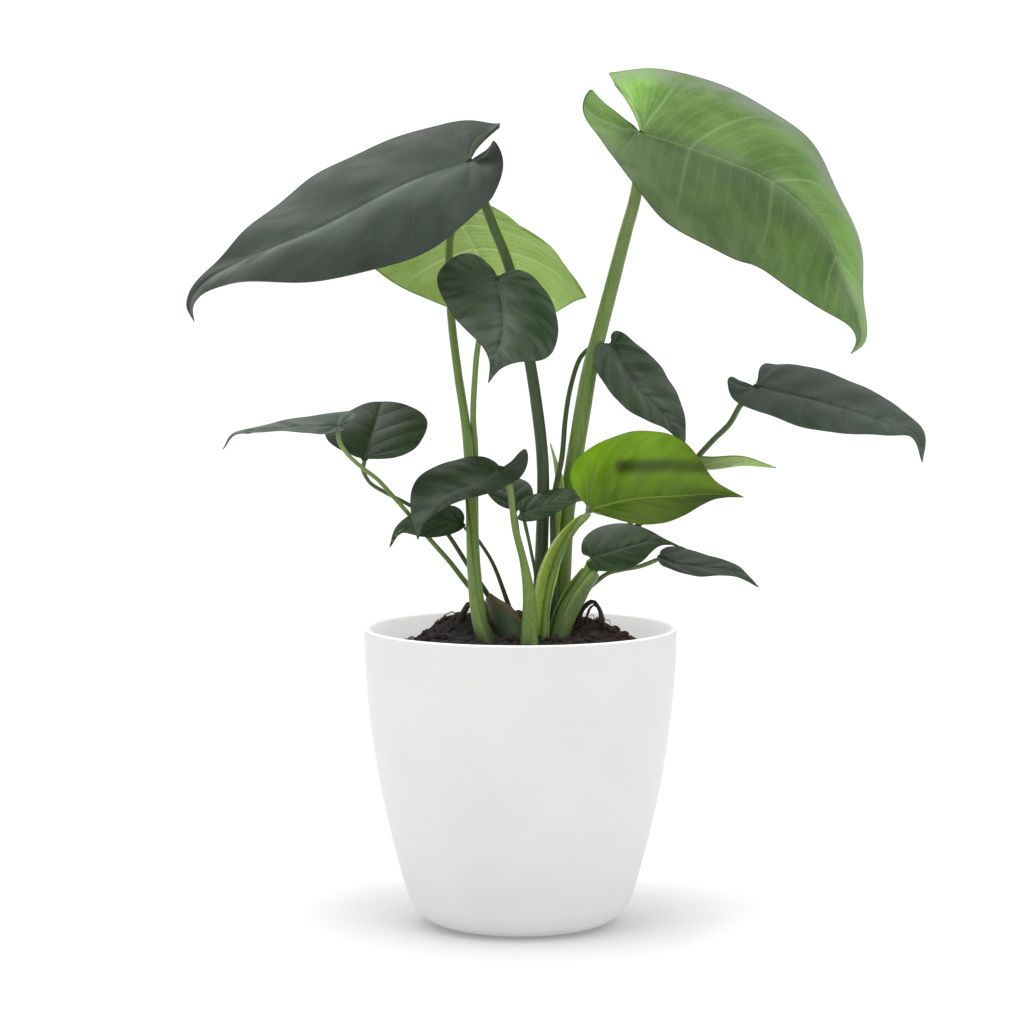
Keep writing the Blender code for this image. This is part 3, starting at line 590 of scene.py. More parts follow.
damp_soil = soil_finish("potting_soil", damp=(0.015, 0.015, 0.016), dry=(0.066, 0.063, 0.063),
                        red=(0.105, 0.066, 0.052), scale=160.0)
loose_soil = soil_finish("loose_soil", damp=(0.015, 0.014, 0.014), dry=(0.086, 0.076, 0.072),
                         red=(0.12, 0.067, 0.052), scale=500.0)
fibre_soil = soil_finish("soil_fibre", damp=(0.026, 0.020, 0.018), dry=(0.15, 0.115, 0.090),
                         red=(0.15, 0.07, 0.050), scale=700.0)

soil_mound = piece("soil_mound", build_mound(), [damp_soil], "potting_soil", "soil")
print("the soil has", len(soil_mound.data.polygons), "faces")

# %% [markdown]
# ### Crumbs and fibres
#
# A crumb is a small ball whose points are pushed in and out by noise until it is lumpy. Several hundred
# of them, all different, are joined into one mesh. The fibres are thin tubes that lie across the
# crumbs. Both come from a seeded random generator, so they fall in the same places each time.

# %% Crumbs
SCATTER_RADIUS = 0.079
# The largest clods: x, y, and size in mm.
CLODS = ((-0.0690, -0.004, 3.8), (-0.0625, -0.008, 3.0), (-0.058, 0.004, 2.6), (-0.035, 0.018, 5.0),
         (-0.029, 0.022, 4.2), (-0.022, 0.024, 3.6), (0.030, 0.020, 3.6), (0.052, 0.016, 3.2),
         (0.060, 0.004, 3.0))


def scatter_places(count, chance):
    """Random places all over the soil."""
    places = []
    while len(places) < count:
        angle, radius = chance.uniform(0, math.tau), SCATTER_RADIUS * math.sqrt(chance.random())
        places.append((radius * math.cos(angle), radius * math.sin(angle)))
    return places


def build_crumbs(count, smallest, largest, seed):
    """Loose crumbs of soil, as one mesh."""
    chance = random.Random(seed)
    bm = bmesh.new()
    bit = bm.verts.layers.float.new("bit")
    clods = [(x, y, size * MM) for x, y, size in CLODS]
    for x, y, size in clods + [(x, y, 0.0) for x, y in scatter_places(count, chance)]:
        size = size or smallest + (largest - smallest) * chance.random() ** 3
        made = bmesh.ops.create_icosphere(bm, subdivisions=2, radius=1.0)["verts"]
        offset = Vector((chance.uniform(-9, 9), chance.uniform(-9, 9), chance.uniform(-9, 9)))
        turn = Matrix.Rotation(chance.uniform(0, math.tau), 3, "Z")
        turn = turn @ Matrix.Rotation(chance.uniform(-1, 1), 3, "X")
        stretch = Vector((1.0, chance.uniform(0.55, 0.95), chance.uniform(0.45, 0.8)))
        seat = Vector((x, y, rough_soil(x, y) + size * 0.25))
        shade = chance.random()
        for vert in made:
            lumpy = 1 + 0.55 * noise.noise(vert.co * 1.5 + offset)
            vert.co = seat + turn @ Vector(a * b for a, b in zip(vert.co, stretch)) * size * lumpy
            vert[bit] = shade
    return bm


crumb_mesh = build_crumbs(count=620, smallest=0.0008, largest=0.0034, seed=5)
soil_crumbs = piece("soil_crumbs", crumb_mesh, [loose_soil], "potting_soil")
print("crumbs:", len(soil_crumbs.data.polygons), "faces")

# %% Tubes


def join_rings(bm, rings):
    """Faces between each ring of points and the next."""
    around = len(rings[0])
    for low, high in zip(rings, rings[1:]):
        for k in range(around):
            after = (k + 1) % around
            bm.faces.new((low[k], low[after], high[after], high[k]))


def close_tube(bm, rings):
    """Join the rings of a tube and put a face on each end."""
    join_rings(bm, rings)
    bm.faces.new(reversed(rings[0]))
    bm.faces.new(rings[-1])


def tube_rings(bm, centres, radii, sides):
    """Rings of points round a line of centres, joined into a closed tube; returns the rings."""
    across = None
    rings = []
    last = len(centres) - 1
    for index, centre in enumerate(centres):
        ahead = (centres[min(index + 1, last)] - centres[max(index - 1, 0)]).normalized()
        if across is None:
            across = ahead.orthogonal()
        across = (across - ahead * across.dot(ahead)).normalized()
        second = ahead.cross(across)
        ring = []
        for side in range(sides):
            angle = math.tau * side / sides
            out = across * math.cos(angle) + second * math.sin(angle)
            ring.append(bm.verts.new(centre + out * radii[index]))
        rings.append(ring)
    close_tube(bm, rings)
    return rings


# %% Fibres
FIBRE_STEPS, FIBRE_SIDES = 8, 5
FIBRE_LIMIT = 0.078  # how far from the middle a fibre may wander
FIBRE_LIFT, FIBRE_ARCH = 0.0012, 0.0016  # how high its ends and its middle stand above the soil


def build_fibres(count, seed):
    """Thin bits of root and coir that lie across the crumbs."""
    chance = random.Random(seed)
    bm = bmesh.new()
    bit = bm.verts.layers.float.new("bit")
    for x, y in scatter_places(count, chance):
        direction, bend = chance.uniform(0, math.tau), chance.uniform(-70, 70)
        length, thick = chance.uniform(0.006, 0.020), chance.uniform(0.00018, 0.00045)
        centres = []
        for step in range(FIBRE_STEPS + 1):
            arch = FIBRE_ARCH * math.sin(math.pi * step / FIBRE_STEPS)
            centres.append(Vector((x, y, rough_soil(x, y) + FIBRE_LIFT + arch)))
            x += length / FIBRE_STEPS * math.cos(direction)
            y += length / FIBRE_STEPS * math.sin(direction)
            x, y = (max(-FIBRE_LIMIT, min(value, FIBRE_LIMIT)) for value in (x, y))
            direction += math.radians(bend) / FIBRE_STEPS + chance.uniform(-0.25, 0.25)
        shade = chance.random() ** 1.6
        radii = [thick * (0.5 + math.sin(math.pi * (0.1 + 0.8 * k / FIBRE_STEPS)) / 2)
                 for k in range(FIBRE_STEPS + 1)]
        for ring in tube_rings(bm, centres, radii, FIBRE_SIDES):
            for vert in ring:
                vert[bit] = shade
    return bm


soil_fibres = piece("soil_fibres", build_fibres(count=110, seed=8), [fibre_soil], "potting_soil")
print("fibres:", len(soil_fibres.data.polygons), "faces")

# %% [markdown]
# ## Leaf blades
#
# A blade is a heart-shaped sheet that bends in three ways at once: its midrib arches from the stalk to
# the tip, its two halves rise or fall from the midrib and droop towards the margin, and its two lobes
# curl up behind the stalk. So it is described, not pushed about by hand: `place` turns a position on
# the flat heart, given as parts of its length and half width, into a point in space. Any grid can be
# laid over it, which gives the blade as many points as it needs, and the grid's columns can follow the
# veins.

# %% Outline of a blade
OUTLINE_STEPS = 24
MIDRIB_STEPS = 80
LEFT, RIGHT = -1, 1

# Half outlines as places on the margin, from the notch at the stalk round the lobe to the tip. Each is a
# part of the blade's length forward of the notch, and a part of the half width out from the midrib.
HEART = ((0.00, 0.00), (-0.08, 0.10), (-0.16, 0.30), (-0.18, 0.55), (-0.12, 0.82), (0.00, 0.97),
         (0.16, 1.00), (0.36, 0.92), (0.58, 0.68), (0.77, 0.35), (0.90, 0.10), (1.00, 0.00))
OVAL = ((0.00, 0.00), (-0.03, 0.18), (-0.03, 0.42), (0.03, 0.68), (0.16, 0.90), (0.36, 0.98),
        (0.56, 0.95), (0.74, 0.74), (0.88, 0.38), (1.00, 0.00))


def smooth_outline(points, per_span):
    """A uniform cubic B-spline that all but touches its points, and turns more evenly than a tight curve."""
    points = [Vector(point) for point in points]
    corners = [points[0]]
    for before, here, after in zip(points, points[1:], points[2:]):
        corners.append(here + (here * 2 - before - after) / 6)
    corners.append(points[-1])
    ends = [corners[0] * 2 - corners[1], *corners, corners[-1] * 2 - corners[-2]]
    curve = []
    for a, b, c, d in zip(ends, ends[1:], ends[2:], ends[3:]):
        for step in range(per_span):
            t = step / per_span
            curve.append((a * (1 - t) ** 3 + b * (3 * t ** 3 - 6 * t * t + 4)
                          + c * (-3 * t ** 3 + 3 * t * t + 3 * t + 1) + d * t ** 3) / 6)
    curve.append(corners[-1].copy())
    return curve


# %% Surface of a blade
FAN_SHARE = 0.47  # the share of the outline whose veins all start at the stalk
VEIN_SWEEP = 1.15  # how the other veins' starting places crowd towards the stalk
FRAME_REACH = 6  # how many steps of the midrib on either side set the way along it
LOBE_REACH = 0.2  # how far the lobes reach back, as a part of the blade's length
TUCK_REACH = 0.6  # how far out, as a part of the half width, a lobe is tucked down beside the stalk


class Blade:
    """The curved surface of one leaf blade. Lengths are given in millimetres and angles in degrees."""

    def __init__(self, midrib, widths, roll, rise, droop, lift, tuck, left, right):
        self.curve, self.length = even_curve([Vector(p) * MM for p in midrib], MIDRIB_STEPS)
        self.widths = {LEFT: widths[0] * MM, RIGHT: widths[1] * MM}
        self.rise = {LEFT: [math.radians(a) for a in rise[0]], RIGHT: [math.radians(a) for a in rise[1]]}
        self.droop = {LEFT: math.radians(droop[0]), RIGHT: math.radians(droop[1])}
        self.lift = {LEFT: math.radians(lift[0]), RIGHT: math.radians(lift[1])}
        self.tuck = {LEFT: tuck[0], RIGHT: tuck[1]}
        self.shapes = {LEFT: smooth_outline(left, OUTLINE_STEPS),
                       RIGHT: smooth_outline(right, OUTLINE_STEPS)}
        self.aheads, self.acrosses = self.make_frames(math.radians(roll))

    def make_frames(self, roll):
        """The way along and the way across (to the right) at each point of the midrib."""
        aheads, acrosses = [], []
        across = None
        for index in range(MIDRIB_STEPS + 1):
            further = self.curve[min(index + FRAME_REACH, MIDRIB_STEPS)]
            ahead = (further - self.curve[max(index - FRAME_REACH, 0)]).normalized()
            if across is None:
                across = ahead.cross(Vector((0, 0, 1))).normalized()
                across = Matrix.Rotation(roll, 3, ahead) @ across
            across = (across - ahead * across.dot(ahead)).normalized()
            aheads.append(ahead)
            acrosses.append(across)
        return aheads, acrosses

    def outline(self, m, side):
        """The half outline at a fraction of its way round, in parts of length and half width."""
        x, y = at_fraction(self.shapes[side], m)
        return x, max(y, 0.0)

    def place(self, x, y, side):
        """The point at a part x of the length, and a part y of the half width out to a side."""
        spot = min(max(x, 0.0), 1.0)
        ahead = at_fraction(self.aheads, spot).normalized()
        across = at_fraction(self.acrosses, spot).normalized()
        up = across.cross(ahead)
        out = y * self.widths[side]
        rise = self.rise[side][0] + (self.rise[side][1] - self.rise[side][0]) * spot * spot * (3 - 2 * spot)
        point = at_fraction(self.curve, spot)
        if y > 0:
            turn = self.droop[side] * y
            margin = rise - turn
            point = point + across * side * out * (math.sin(rise) - math.sin(margin)) / turn
            point += up * out * (math.cos(margin) - math.cos(rise)) / turn
        if x < 0:
            back = -x * self.length
            curl = math.tan(self.lift[side]) * back * back / (LOBE_REACH * self.length)
            tuck = self.tuck[side] * back * max(1 - y / TUCK_REACH, 0.0) ** 2
            point = point - ahead * back * math.cos(self.lift[side]) + up * (curl - tuck)
        return point


# %% [markdown]
# ### Veins, quilting and thickness
#
# The grid's columns run along the side veins. In the lobes they fan out from the stalk, and further on
# they leave the midrib one after another and sweep towards the tip. The sheet is then lifted along its
# own normals: a sunken midrib, a shallow groove over each side vein, soft pillows between them, and
# slow waves in the margin. A copy of the sheet below it makes the underside, with the midrib standing
# out as a rib, and a rounded rim joins the two, so the leaf is a closed body and its edge catches the
# light.
#
# Each corner of the mesh also remembers where it is: its number of veins from the notch, its distance
# from the midrib and the margin, and the space between two veins. It also carries painted light and
# shade, which makes its green lighter or darker, and how much painted sheen lies on it. The finishes
# draw with these numbers.

# %% Grid of a blade
VEIN_BEND = 0.35  # how much a side vein sweeps towards the tip
ROW_CROWDING = 1.35  # how strongly the rows crowd towards the midrib
LAST_ROW = 0.978  # the row just inside the margin
PROBE = 0.004  # the step along the grid with which the space between two veins is measured


def row_shares(rows):
    """How far out each row of points is: close rows at the midrib, and one just inside the margin."""
    return [(row / rows) ** ROW_CROWDING for row in range(rows)] + [LAST_ROW, 1.0]


def vein_foot(m):
    """Where column m leaves the midrib: at the stalk in the lobes, and further and further on after them."""
    return (max(m - FAN_SHARE, 0.0) / (1 - FAN_SHARE)) ** VEIN_SWEEP


def grid_position(blade, m, t, side):
    """Where the grid's column m crosses row t, in parts of the length and half width."""
    edge_x, edge_y = blade.outline(m, side)
    foot_x = vein_foot(m)
    swept = t - VEIN_BEND * t * (1 - t)
    return foot_x + (edge_x - foot_x) * swept, edge_y * t


def leaf_numbers(blade, m, t, side, veins):
    """(veins, mm from the midrib, mm between veins) and (mm from the margin, share out, share along)."""
    before, after = max(m - PROBE, 0.0), min(m + PROBE, 1.0)
    x, y = grid_position(blade, m, t, side)
    a = blade.place(*grid_position(blade, before, t, side), side)
    b = blade.place(*grid_position(blade, after, t, side), side)
    spacing = (a - b).length / (after - before) / veins / MM
    along = max(-x, 0.0) * blade.length / MM
    from_midrib = math.hypot(y * blade.widths[side] / MM, along)
    edge_x, edge_y = blade.outline(m, side)
    reach = math.hypot((edge_x - vein_foot(m)) * blade.length, edge_y * blade.widths[side]) / MM
    return (m * veins, from_midrib, spacing), ((1 - t) * reach, t, x)


# %% Relief of a blade
# Depths, heights and widths in mm.
GROOVE_DEPTH, GROOVE_WIDTH = 0.22, 0.9  # over a side vein
MIDRIB_DEPTH, MIDRIB_WIDTH = 0.55, 1.3  # over the midrib
RIB_HEIGHT, RIB_WIDTH = 1.5, 1.5  # below the midrib
SIDE_RIB_HEIGHT, SIDE_RIB_WIDTH = 0.4, 0.8  # below a side vein
BROAD, NARROW, CLOSE = 14, 6, 8  # between veins nearer than this, pillows, grooves and side ribs weaken


def relief(numbers, m, quilt, wave, waves):
    """How far a point is lifted from the smooth sheet, in mm."""
    (vein, from_midrib, spacing), (_, t, x) = numbers
    to_vein = abs(vein - round(vein)) * spacing
    alive = ease(t, 0.04, 0.35) * (1 - ease(m, 0.86, 0.98))
    pillow = (math.sin(math.pi * vein) ** 2 - 0.5) * quilt * min(spacing / BROAD, 1.0)
    groove = -GROOVE_DEPTH * bump(to_vein, GROOVE_WIDTH) * min(spacing / NARROW, 1.0) * (1 - t * t)
    midrib = -MIDRIB_DEPTH * bump(from_midrib, MIDRIB_WIDTH) * (1 - 0.6 * max(x, 0.0)) if x >= 0 else 0.0
    flutter = wave * math.sin(math.tau * waves * m + 1.3) * t ** 3
    flutter = flutter * (1 - ease(m, 0.8, 1.0)) * ease(m, 0.0, 0.12)
    return pillow * alive * (1 - 0.6 * t * t) + groove * ease(t, 0.02, 0.12) + midrib + flutter


def thickness(numbers, thick):
    """The blade's thickness in mm: ribs under the midrib and the side veins, and a thin margin."""
    (vein, from_midrib, spacing), (_, t, x) = numbers
    to_vein = abs(vein - round(vein)) * spacing
    rib = RIB_HEIGHT * bump(from_midrib, RIB_WIDTH) * (1 - min(max(x, 0.0), 1.0)) ** 0.6
    side_rib = SIDE_RIB_HEIGHT * bump(to_vein, SIDE_RIB_WIDTH) * min(spacing / CLOSE, 1.0)
    side_rib = side_rib * (1 - t) * ease(t, 0.0, 0.1)
    return thick * (1 - 0.45 * t ** 4) + rib + side_rib


# %% [markdown]
# ### Painted light and shade
#
# Light falls differently on the two halves of a leaf and on its lobes and tip, and a sheen shows along
# the midrib and the margin. Both are painted into the colour: each leaf has a few numbers for its
# painted shading, which makes its green lighter or darker, and for its painted sheen, and they fade into
# each other. One young leaf gets a painted shadow of the furled leaf right behind it, as a dark streak:
# the shading drops near that leaf's line.

# %% Painted light and shade of a blade
SHEEN_PLACE, SHEEN_WIDTH = 3.5, 5.0  # where the painted sheen beside the midrib lies, in mm from it
SHADOW_DEPTH = 0.78  # how dark the painted shadow of a leaf right behind is
SHADOW_START, SHADOW_END = 0.8, 5.6  # its soft edge, in mm from that leaf's line
SHADOW_RISE = 1.0  # how much higher than that line it lies, in mm


def painted_leaf_shading(numbers, side, painted_shading, ends, painted_sheen):
    """(painted shading, painted sheen), from those at the midrib and the margin and at both ends."""
    (_, from_midrib, _), (_, t, x) = numbers
    inner, outer = painted_shading[0 if side == LEFT else 1]
    rib, edge = painted_sheen[0 if side == LEFT else 1]
    between = (painted_shading[0][0] + painted_shading[1][0]) / 2
    # Painted shading: the green made lighter or darker at the midrib, the margin, the lobes and the tip.
    shading = between + (inner - between) * ease(t, 0.0, 0.2) + (outer - inner) * ease(t, 0.1, 0.85)
    lobe_end, tip_end = ends
    shading *= 1 + (lobe_end - 1) * ease(-x, -0.05, 0.12) + (tip_end - 1) * ease(x, 0.35, 0.9)
    # Painted sheen: a grey band beside the midrib, and along the margin and towards the tip.
    sheen = rib * bump(from_midrib - SHEEN_PLACE, SHEEN_WIDTH) * ease(x, 0.02, 0.25)
    sheen += edge * max(ease(t, 0.6, 1.0), 0.6 * ease(x, 0.6, 1.0))
    return shading, sheen


def shadow(spot, m, behind):
    """How much painted shadow a leaf right behind puts on a spot, if there is one: less towards the blade's
    tip.
    """
    if not behind:
        return 0.0
    away = min(math.hypot(spot.x - q.x, spot.z - SHADOW_RISE * MM - q.z) for q in behind) / MM
    return SHADOW_DEPTH * (1 - ease(away, SHADOW_START, SHADOW_END)) * (1 - 0.4 * ease(m, 0.4, 0.8))


# %% [markdown]
# ### Closing the leaf
#
# The two halves of the grid share their points along the midrib, all the lines of the fan share the one
# point at the joint, and all lines end in the same tip. So every point of the grid gets a key, and
# places with the same key get the same corner of the mesh.

# %% Keys and cells of the grid
JOINT, TIP = "joint", "tip"


def grid_key(column, row, side, columns):
    """The key of a place in the grid. Places that are one point have one key."""
    if column == 0 or (row == 0 and column / columns <= FAN_SHARE):
        return JOINT
    if column == columns:
        return TIP
    return (column, row, 0 if row == 0 else side)


def grid_cells(columns, rows):
    """The side and the four places of each cell. It starts at line 1, which is the notch's own edge."""
    for side in (LEFT, RIGHT):
        for column in range(1, columns):
            for row in range(rows):
                yield side, ((column, row, side), (column + 1, row, side), (column + 1, row + 1, side),
                             (column, row + 1, side))


def margin_places(side, columns, rows):
    """The places round a half's margin, from the joint to the tip, each with the place just inside it."""
    notch = [((1, row, side), (2, row, side)) for row in range(rows)]
    return notch + [((column, rows, side), (column, rows - 1, side)) for column in range(1, columns + 1)]


# %% Mesh of a blade
RIM_ROUNDING = 0.45  # how far the rim stands out, as a part of the thickness there


def blade_mesh(blade, columns, rows, veins, quilt, wave, waves, thick, painted_shading, ends, painted_sheen, behind):
    """A closed leaf: upper side (material 0), underside (material 1) and a rounded rim between them."""
    bm = bmesh.new()
    vein_map = bm.loops.layers.float_vector.new("vein_map")
    edge_map = bm.loops.layers.float_vector.new("edge_map")
    painted_light_map = bm.loops.layers.float_vector.new("painted_light_map")
    shares = row_shares(rows)
    last = len(shares) - 1
    shared, numbers, lifts, depths = {}, {}, {}, {}
    for side in (LEFT, RIGHT):
        for column in range(columns + 1):
            for row, t in enumerate(shares):
                m = column / columns
                found = leaf_numbers(blade, m, t, side, veins)
                key = grid_key(column, row, side, columns)
                if key not in shared:
                    vert = bm.verts.new(blade.place(*grid_position(blade, m, t, side), side))
                    shared[key] = vert
                    lifts[vert] = relief(found, m, quilt, wave, waves) * MM
                    depths[vert] = thickness(found, thick) * MM
                # Painted shading and painted sheen for this place.
                shading, sheen = painted_leaf_shading(found, side, painted_shading, ends, painted_sheen)
                # A painted shadow of the leaf right behind darkens the shading here.
                shading *= 1 - shadow(shared[key].co, m, behind)
                numbers[column, row, side] = (*found, (shading, sheen, 0.0))

    def fill(corners, material, flip):
        """A face from {vertex: its place in the grid}, with its numbers."""
        face = bm.faces.new(list(corners)[::-1] if flip else list(corners))
        face.material_index = material
        for loop in face.loops:
            loop[vein_map], loop[edge_map], loop[painted_light_map] = numbers[corners[loop.vert]]

    cells = []
    for side, places in grid_cells(columns, last):
        corners = {}
        for place in places:
            corners.setdefault(shared[grid_key(*place, columns)], place)
        if len(corners) > 2:
            cells.append(corners)
            fill(corners, 0, side == RIGHT)
    bm.normal_update()
    for vert in lifts:
        vert.co += vert.normal * lifts[vert]
    bm.normal_update()
    below = {vert: bm.verts.new(vert.co - vert.normal * depths[vert]) for vert in lifts}
    for corners in cells:
        place = next(iter(corners.values()))
        fill({below[vert]: spot for vert, spot in corners.items()}, 1, place[2] == LEFT)
    rim = {}
    for side in (LEFT, RIGHT):
        edge = margin_places(side, columns, last)
        for here, after in zip(edge, edge[1:]):
            corners = [here[0], after[0]]
            tops = [shared[grid_key(*place, columns)] for place in corners]
            for top, (_, inward) in zip(tops, (here, after)):
                if top not in rim:
                    inner = shared[grid_key(*inward, columns)]
                    outward = (top.co - inner.co).normalized() if inner is not top else Vector()
                    middle = (top.co + below[top].co) / 2 + outward * depths[top] * RIM_ROUNDING
                    rim[top] = bm.verts.new(middle)
            middles = [rim[top] for top in tops]
            lows = [below[top] for top in tops]
            for high, low in ((tops, middles), (middles, lows)):
                strip = {high[0]: corners[0], high[1]: corners[1], low[1]: corners[1], low[0]: corners[0]}
                fill(strip, 0, side == LEFT)
    return bm


# %% [markdown]
# ### Pattern of a leaf
#
# One node group reads the numbers that the mesh carries and turns them into masks: the midrib, the side
# veins and the finer veins between them, a faint net, the margin, and clouds and streaks of lighter and
# darker green. It also puts out the leaf's painted shading and painted sheen, and a height for the bump.
# Every leaf finish uses this group and only chooses its own colours, so the dark old leaves and the
# bright young ones clearly belong to one plant.

# %% Leaf pattern group
leaf_pattern, group_in, group_out = new_group(
    "leaf_pattern", {"Vein width": 0.5, "Midrib width": 1.0, "Net scale": 420.0, "Cloud scale": 26.0},
    {name: "NodeSocketFloat" for name in ("Veins", "Midrib", "Fine veins", "Net", "Margin", "Clouds",
                                          "Streaks", "Painted shading", "Painted sheen", "Height")})
vein_numbers = add(leaf_pattern, "ShaderNodeAttribute", attribute_name="vein_map").outputs["Vector"]
edge_numbers = add(leaf_pattern, "ShaderNodeAttribute", attribute_name="edge_map").outputs["Vector"]
vein_parts = add(leaf_pattern, "ShaderNodeSeparateXYZ", {0: vein_numbers}).outputs
edge_parts = add(leaf_pattern, "ShaderNodeSeparateXYZ", {0: edge_numbers}).outputs
outward = calculate(leaf_pattern, "POWER", edge_parts[1], 2.5)


def vein_lines(count, width):
    """Lines along the veins: count of them for each main vein."""
    number = calculate(leaf_pattern, "MULTIPLY", vein_parts[0], count)
    off = calculate(leaf_pattern, "PINGPONG", number, 0.5)
    spacing = calculate(leaf_pattern, "DIVIDE", vein_parts[2], count)
    distance = calculate(leaf_pattern, "MULTIPLY", off, spacing)
    line = add(leaf_pattern, "ShaderNodeMapRange", {"Value": distance, "From Min": 0.0, "From Max": width,
                                                    "To Min": 1.0, "To Max": 0.0},
               interpolation_type="SMOOTHSTEP").outputs[0]
    inward = calculate(leaf_pattern, "SUBTRACT", 1.0, outward)
    return calculate(leaf_pattern, "MULTIPLY", line, inward, clamp=True)


main_veins = vein_lines(1.0, group_in.outputs["Vein width"])
fine_veins = vein_lines(6.0, calculate(leaf_pattern, "MULTIPLY", group_in.outputs["Vein width"], 0.7))
rib_width = calculate(leaf_pattern, "MULTIPLY", group_in.outputs["Midrib width"],
                      calculate(leaf_pattern, "SUBTRACT", 1.1, edge_parts[2]))
ahead_of_stalk = fade(leaf_pattern, edge_parts[2], -0.02, 0.01)
midrib_line = calculate(leaf_pattern, "MULTIPLY", ahead_of_stalk,
                        add(leaf_pattern, "ShaderNodeMapRange",
                            {"Value": vein_parts[1], "From Min": 0.1, "From Max": rib_width, "To Min": 1.0,
                             "To Max": 0.0}, interpolation_type="SMOOTHSTEP").outputs[0])
painted_light_numbers = add(leaf_pattern, "ShaderNodeAttribute", attribute_name="painted_light_map").outputs["Vector"]
painted_light_parts = add(leaf_pattern, "ShaderNodeSeparateXYZ", {0: painted_light_numbers}).outputs
across_veins = calculate(leaf_pattern, "MULTIPLY", vein_parts[0], 2.6)
out_from_rib = calculate(leaf_pattern, "MULTIPLY", vein_parts[1], 0.045)
along_veins = add(leaf_pattern, "ShaderNodeCombineXYZ",
                  {0: across_veins, 1: out_from_rib, 2: edge_parts[2]}).outputs[0]
streak_noise = add(leaf_pattern, "ShaderNodeTexNoise", {"Vector": along_veins, "Scale": 1.6, "Detail": 5.0})
streaks = fade(leaf_pattern, streak_noise.outputs["Fac"], 0.3, 0.7)
place = add(leaf_pattern, "ShaderNodeTexCoord").outputs["Object"]
cells = add(leaf_pattern, "ShaderNodeTexVoronoi", {"Vector": place, "Scale": group_in.outputs["Net scale"]},
            feature="DISTANCE_TO_EDGE").outputs["Distance"]
net = fade(leaf_pattern, cells, 0.0, 0.12, 1.0, 0.0)
margin = fade(leaf_pattern, edge_parts[0], 0.1, 0.7, 1.0, 0.0)
leaf_mottle = use_group(leaf_pattern, mottling, Grain_scale=900.0)
leaf_pattern.links.new(group_in.outputs["Cloud scale"], leaf_mottle.inputs["Cloud scale"])
# Painted sheen, broken up by the streaks.
painted_sheen = calculate(leaf_pattern, "MULTIPLY", painted_light_parts[1], fade(leaf_pattern, streaks, 0.0, 1.0, 0.35, 1.0))
height = calculate(leaf_pattern, "MULTIPLY", leaf_mottle.outputs["Grain"], 0.25)
for mask, depth in ((main_veins, -0.6), (fine_veins, -0.28), (net, -0.12), (midrib_line, -0.8)):
    height = calculate(leaf_pattern, "ADD", height, calculate(leaf_pattern, "MULTIPLY", mask, depth))
for title, result in (("Veins", main_veins), ("Midrib", midrib_line), ("Fine veins", fine_veins),
                      ("Net", net), ("Margin", margin), ("Clouds", leaf_mottle.outputs["Clouds"]),
                      ("Streaks", streaks), ("Painted shading", painted_light_parts[0]), ("Painted sheen", painted_sheen), ("Height", height)):
    leaf_pattern.links.new(result, group_out.inputs[title])
print("the leaf pattern puts out:", ", ".join(socket.name for socket in group_out.inputs if socket.name))

# %% [markdown]
# ### Leaf finishes
#
# A leaf is waxy above and duller below. The upper side is a Principled shader with a low, soft gloss: a
# leaf held flat shows the sky in it as a grey-blue sheen, and one that faces you shows its own dark
# green. Young leaves also let light through, and a Translucent shader is mixed in for that.

# %% Leaf finishes
# The grey of the painted sheen.
SHEEN_COLOUR = (0.24, 0.25, 0.25)
STREAK_SHARE = 0.6  # how much of the light and dark green follows the veins; the rest lies in clouds


def leaf_finish(name, deep, light, vein, edge, roughness, gloss, glow=0.0, glow_colour=None,
                vein_share=0.3, rib_share=0.7, vein_width=0.6):
    """One side of a leaf: two greens in patches, vein and margin colours, painted shading and painted sheen,
    gloss, and light let through.
    """
    made, tree, shader = principled(name, roughness, specular=gloss, coat=0.03, coat_roughness=0.35)
    pattern = use_group(tree, leaf_pattern, Vein_width=vein_width)

    def share(mask, amount):
        return calculate(tree, "MULTIPLY", pattern.outputs[mask], amount)

    patches = add(tree, "ShaderNodeMix", {"Factor": STREAK_SHARE, "A": pattern.outputs["Clouds"],
                                          "B": pattern.outputs["Streaks"]}).outputs[0]
    patches = fade(tree, patches, 0.08, 0.92)
    colour = mix_colour(tree, patches, deep, light)
    colour = mix_colour(tree, share("Net", vein_share * 0.35), colour, vein)
    colour = mix_colour(tree, share("Fine veins", vein_share * 0.4), colour, vein)
    colour = mix_colour(tree, share("Veins", vein_share), colour, vein)
    # Painted shading: the mesh's numbers make the green lighter or darker.
    shaded = add(tree, "ShaderNodeVectorMath", {0: colour, "Scale": pattern.outputs["Painted shading"]},
                operation="SCALE").outputs[0]
    colour = mix_colour(tree, share("Midrib", rib_share), shaded, vein)
    # Painted sheen: grey laid over the green.
    colour = mix_colour(tree, share("Painted sheen", 0.5), colour, SHEEN_COLOUR)
    colour = mix_colour(tree, share("Margin", 0.7), colour, edge)
    tree.links.new(colour, shader.inputs["Base Color"])
    tree.links.new(fade(tree, patches, 0.0, 1.0, roughness - 0.06, roughness + 0.08),
                   shader.inputs["Roughness"])
    bumps = add(tree, "ShaderNodeBump", {"Height": pattern.outputs["Height"], "Strength": 0.35,
                                         "Distance": 0.0004})
    tree.links.new(bumps.outputs[0], shader.inputs["Normal"])
    if glow > 0:
        through = mix_colour(tree, share("Veins", 0.5), glow_colour, vein)
        # The light let through gets the same painted shading.
        through = add(tree, "ShaderNodeVectorMath", {0: through, "Scale": pattern.outputs["Painted shading"]},
                      operation="SCALE").outputs[0]
        lit = add(tree, "ShaderNodeBsdfTranslucent", {"Color": through})
        both = add(tree, "ShaderNodeMixShader", {0: glow, 1: shader.outputs[0], 2: lit.outputs[0]})
        tree.links.new(both.outputs[0], tree.nodes["Material Output"].inputs["Surface"])
    return made


